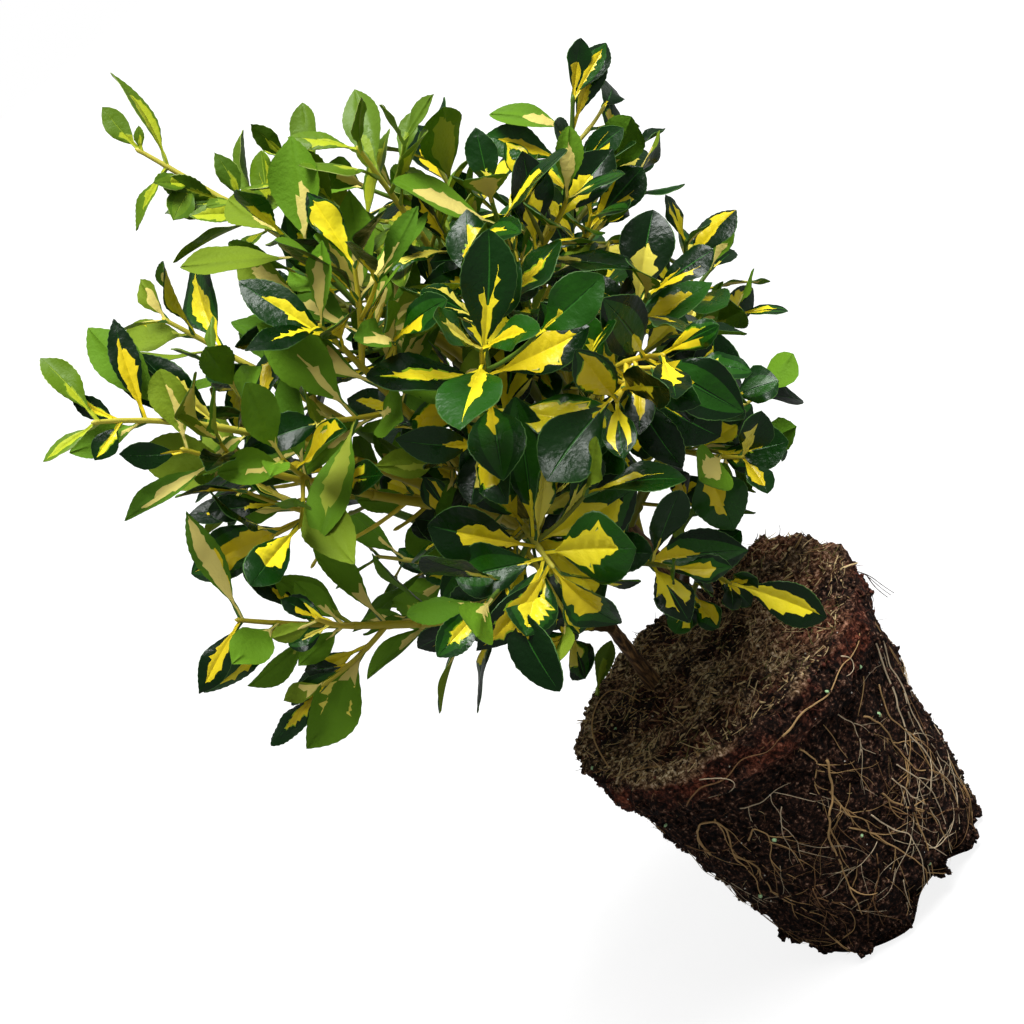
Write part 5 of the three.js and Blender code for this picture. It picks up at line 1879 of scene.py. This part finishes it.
rng = np.random.default_rng(FIBRE_SEED)
heap = Heap()
for felt in FELTS:
    for _ in range(felt["count"]):
        finish = rng.choice(felt["finishes"], p=felt["shares"])
        add_fibre(heap, felt["weights"], rng.uniform(*felt["length"]), rng.uniform(*felt["radius"]), finish,
                  felt["stand"])
# Dust on the top, in a colour painted lighter to make up for the crown's shade.
scatter(heap, 160, (0.3, 0.8), FIBRE_FINISH["fibre_dust"], weights=TOP_WEIGHTS)
scatter(heap, 200, (0.3, 0.9), FIBRE_FINISH["coir_red"], weights=RIM_WEIGHTS)
scatter(heap, 90, (0.25, 0.5), FIBRE_FINISH["white_grit"], lift=0.7)

# %% [markdown]
# ## Beads, a straw and dry rootlets
# Pale green beads of slow plant food sit where they are seen. A bent straw stands on the soil,
# and dry rootlets hang from the rim. Their places are azimuth, radius and height.

# %% Beads, straw and rootlets
BEAD_SIZE = 0.95
BEADS = [
    (162, 47, 118), (-174, 60, 119), (-152, 58, 94), (-53, 61, 104), (-55, 57, 83), (-70, 63, 110),
    (-117, 55, 72), (-145, 51, 47), (-90, 52, 52), (-74, 47, 21), (40, 58, 92), (110, 55, 60), (75, 40, 118)]
STRAW = [(-164, 57, 118), (178, 54, 125), (168, 49, 129), (157, 43, 130), (150, 39, 127), (158, 33, 119)]
DRY_ROOTLETS = [[(-8, 62, 114), (-9, 65, 111), (-12, 66, 105), (-14, 68, 100)],
                [(-4, 62, 112), (-5, 66, 107), (-9, 67, 103), (-9, 69, 97)],
                [(-9, 65, 110), (-15, 65, 107), (-17, 67, 102)]]


def rounded(places):
    """A smooth line of points through about these places."""
    corners = np.array([polar(*place) for place in places])
    at = np.linspace(0, len(corners) - 1, 6 * len(corners))
    line = np.stack([np.interp(at, range(len(corners)), corners[:, axis]) for axis in range(3)], 1)
    for _ in range(12):
        line[1:-1] = (line[:-2] + line[2:]) / 2
    return line


for azimuth, radius, height in BEADS:
    nearest = np.hypot(ROW_RADIUS - radius, ROW_HEIGHT - height).argmin()
    add_lump(heap, *ball_place(nearest, azimuth), BEAD_SIZE, FIBRE_FINISH["feed_bead"], lift=0.6)
add_strand(heap, rounded(STRAW), 0.32, 0.22, "root_tan", sides=7)
for line in DRY_ROOTLETS:
    add_strand(heap, rounded(line), 0.22, 0.12, "fibre_dark", sides=4)
heap.make("fibres_and_grit", FIBRE_FINISHES, "peat", ["root_ball"])

# %% [markdown]
# ## A shed leaf
# Old leaves drop and lie on the soil. One lies at the back of the rim, on its edge and pale.

# %% A shed leaf
SHED_FACES = Vector((0.3, 0.9, 0.5))

shed_root, shed_tip = polar(138, 57, 121), polar(120, 60, 129)
shed_along = (shed_tip - shed_root).normalized()
shed_normal = (SHED_FACES - shed_along * shed_along.dot(SHED_FACES)).normalized()
shed_leaf = SimpleNamespace(root=shed_root, along=shed_along, normal=shed_normal, length=23, width=9, face=1,
                            shape=SHAPES["young"], blotch_kind=None, young=True)
heap = Heap()
add_leaf(heap, shed_leaf, np.random.default_rng(FIBRE_SEED))
heap.make("shed_leaf", LEAF_FINISHES, "foliage", [])

# %% [markdown]
# ## The camera
# The photo was taken from a little above, with the plant leaning across the picture. Here the
# plant stands level on its root ball, and the camera is rolled instead.

# %% Camera
CAMERA_ELEVATION, CAMERA_ROLL = math.radians(18.5), math.radians(40.05)
CAMERA_DISTANCE, CAMERA_AIM = 700, Vector((-21.5, 0, 214.5))
CAMERA_LENS, SENSOR = 68.55, 36

back = Vector((0, -math.cos(CAMERA_ELEVATION), math.sin(CAMERA_ELEVATION)))
level_right = Vector((1, 0, 0))
level_up = back.cross(level_right)
picture_right = level_right * math.cos(CAMERA_ROLL) - level_up * math.sin(CAMERA_ROLL)
picture_up = level_right * math.sin(CAMERA_ROLL) + level_up * math.cos(CAMERA_ROLL)
placement = Matrix((picture_right, picture_up, back)).transposed().to_4x4()
placement.translation = (CAMERA_AIM + back * CAMERA_DISTANCE) * MM

camera_data = bpy.data.cameras.new("photo_camera")
camera_data.lens, camera_data.sensor_width = CAMERA_LENS, SENSOR
camera_data.clip_start, camera_data.clip_end = 0.01, 100
camera = bpy.data.objects.new("photo_camera", camera_data)
camera.matrix_world = placement
bpy.context.scene.collection.objects.link(camera)
bpy.context.scene.camera = camera

# %% [markdown]
# ## A white ground and soft light
# The photo has a plain white background and soft light from one side. A very large pale disc and
# a white sky give the first. A hazy sun, which is a lamp with a wide angle, gives the second: a
# soft sheen on the leaves, and dark inside the crown. Sky and ground look white like a lit
# table, but they light the plant more dimly than they look.

# %% Ground
GROUND_RADIUS, GROUND_SIDES, GROUND_GLOW = 40000, 96, 0.86

ground_finish, ground_tree, ground_shader = new_finish(
    "lit_white_table", Base_Color=linear("#808080"), Roughness=0.9, Specular_IOR_Level=0.1,
    Emission_Color=linear("#ffffff"))
ground_seen = add_node(ground_tree, "LightPath").outputs["Is Camera Ray"]
glow = add_node(ground_tree, "MapRange", {"Value": ground_seen, "To Min": 0.0, "To Max": GROUND_GLOW})
ground_tree.links.new(glow.outputs["Result"], ground_shader.inputs["Emission Strength"])
turns = [2 * math.pi * k / GROUND_SIDES for k in range(GROUND_SIDES)]
ground_mesh = bpy.data.meshes.new("ground")
ground_mesh.from_pydata([(math.cos(turn) * GROUND_RADIUS * MM, math.sin(turn) * GROUND_RADIUS * MM, 0)
                         for turn in turns], [], [list(range(GROUND_SIDES))])
ground_mesh.materials.append(ground_finish)
ground = bpy.data.objects.new("ground", ground_mesh)
bpy.context.scene.collection.objects.link(ground)

# %% [markdown]
# ## Sun and sky
# The lamp stands behind the eye's upper side, so that leaves shine at their upper faces and the
# crown shades the soil. The sky gives more light round the lamp than opposite it, as haze does.
# What the camera sees of the sky is plain white.

# %% Sun and sky
HAZE_STRENGTH, HAZE_ANGLE = 4.6, math.radians(32)
LAMP_UP, LAMP_BACK, LAMP_LEFT, LAMP_RAISED = 0.7, 0.5, 0.15, 0.4
SKY_SEEN, SKY_LIGHT, SKY_SPAN = 1.0, (0.09, 0.4), (-0.3, 1.0)

haze = bpy.data.lights.new("hazy_sun", "SUN")
haze.energy, haze.angle = HAZE_STRENGTH, HAZE_ANGLE
key = bpy.data.objects.new("hazy_sun", haze)
key_way = picture_up * LAMP_UP + back * LAMP_BACK - picture_right * LAMP_LEFT
key_way = (key_way + Vector((0, 0, LAMP_RAISED))).normalized()
key.matrix_world = key_way.to_track_quat("Z", "Y").to_matrix().to_4x4()
bpy.context.scene.collection.objects.link(key)

world = bpy.data.worlds.new("white_sky")
world.use_nodes = True
sky = world.node_tree.nodes["Background"]
sky.inputs["Color"].default_value = linear("#ffffff")
seen = add_node(world.node_tree, "LightPath").outputs["Is Camera Ray"]
way = add_node(world.node_tree, "TexCoord").outputs["Generated"]
near_sun = add_node(world.node_tree, "VectorMath", {0: way, 1: key_way},
                    operation="DOT_PRODUCT").outputs["Value"]
light = add_node(world.node_tree, "MapRange", {
    "Value": near_sun, "From Min": SKY_SPAN[0], "From Max": SKY_SPAN[1],
    "To Min": SKY_LIGHT[0], "To Max": SKY_LIGHT[1]})
strength = add_node(world.node_tree, "MapRange", {"Value": seen, "To Min": light.outputs["Result"],
                                                  "To Max": SKY_SEEN})
world.node_tree.links.new(strength.outputs["Result"], sky.inputs["Strength"])
bpy.context.scene.world = world
bpy.context.scene.view_settings.view_transform = "Standard"
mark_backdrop(ground, key)

# %% [markdown]
# ## Sizes
# The box of the plain solids and the box of what was built here are printed side by side.

# %% Print the sizes
BUILT_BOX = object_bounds()
for name, box in (("plain", CAD_BOX), ("built", BUILT_BOX)):
    print(name, "box in mm:", [[round(value / MM, 1) for value in corner] for corner in box])
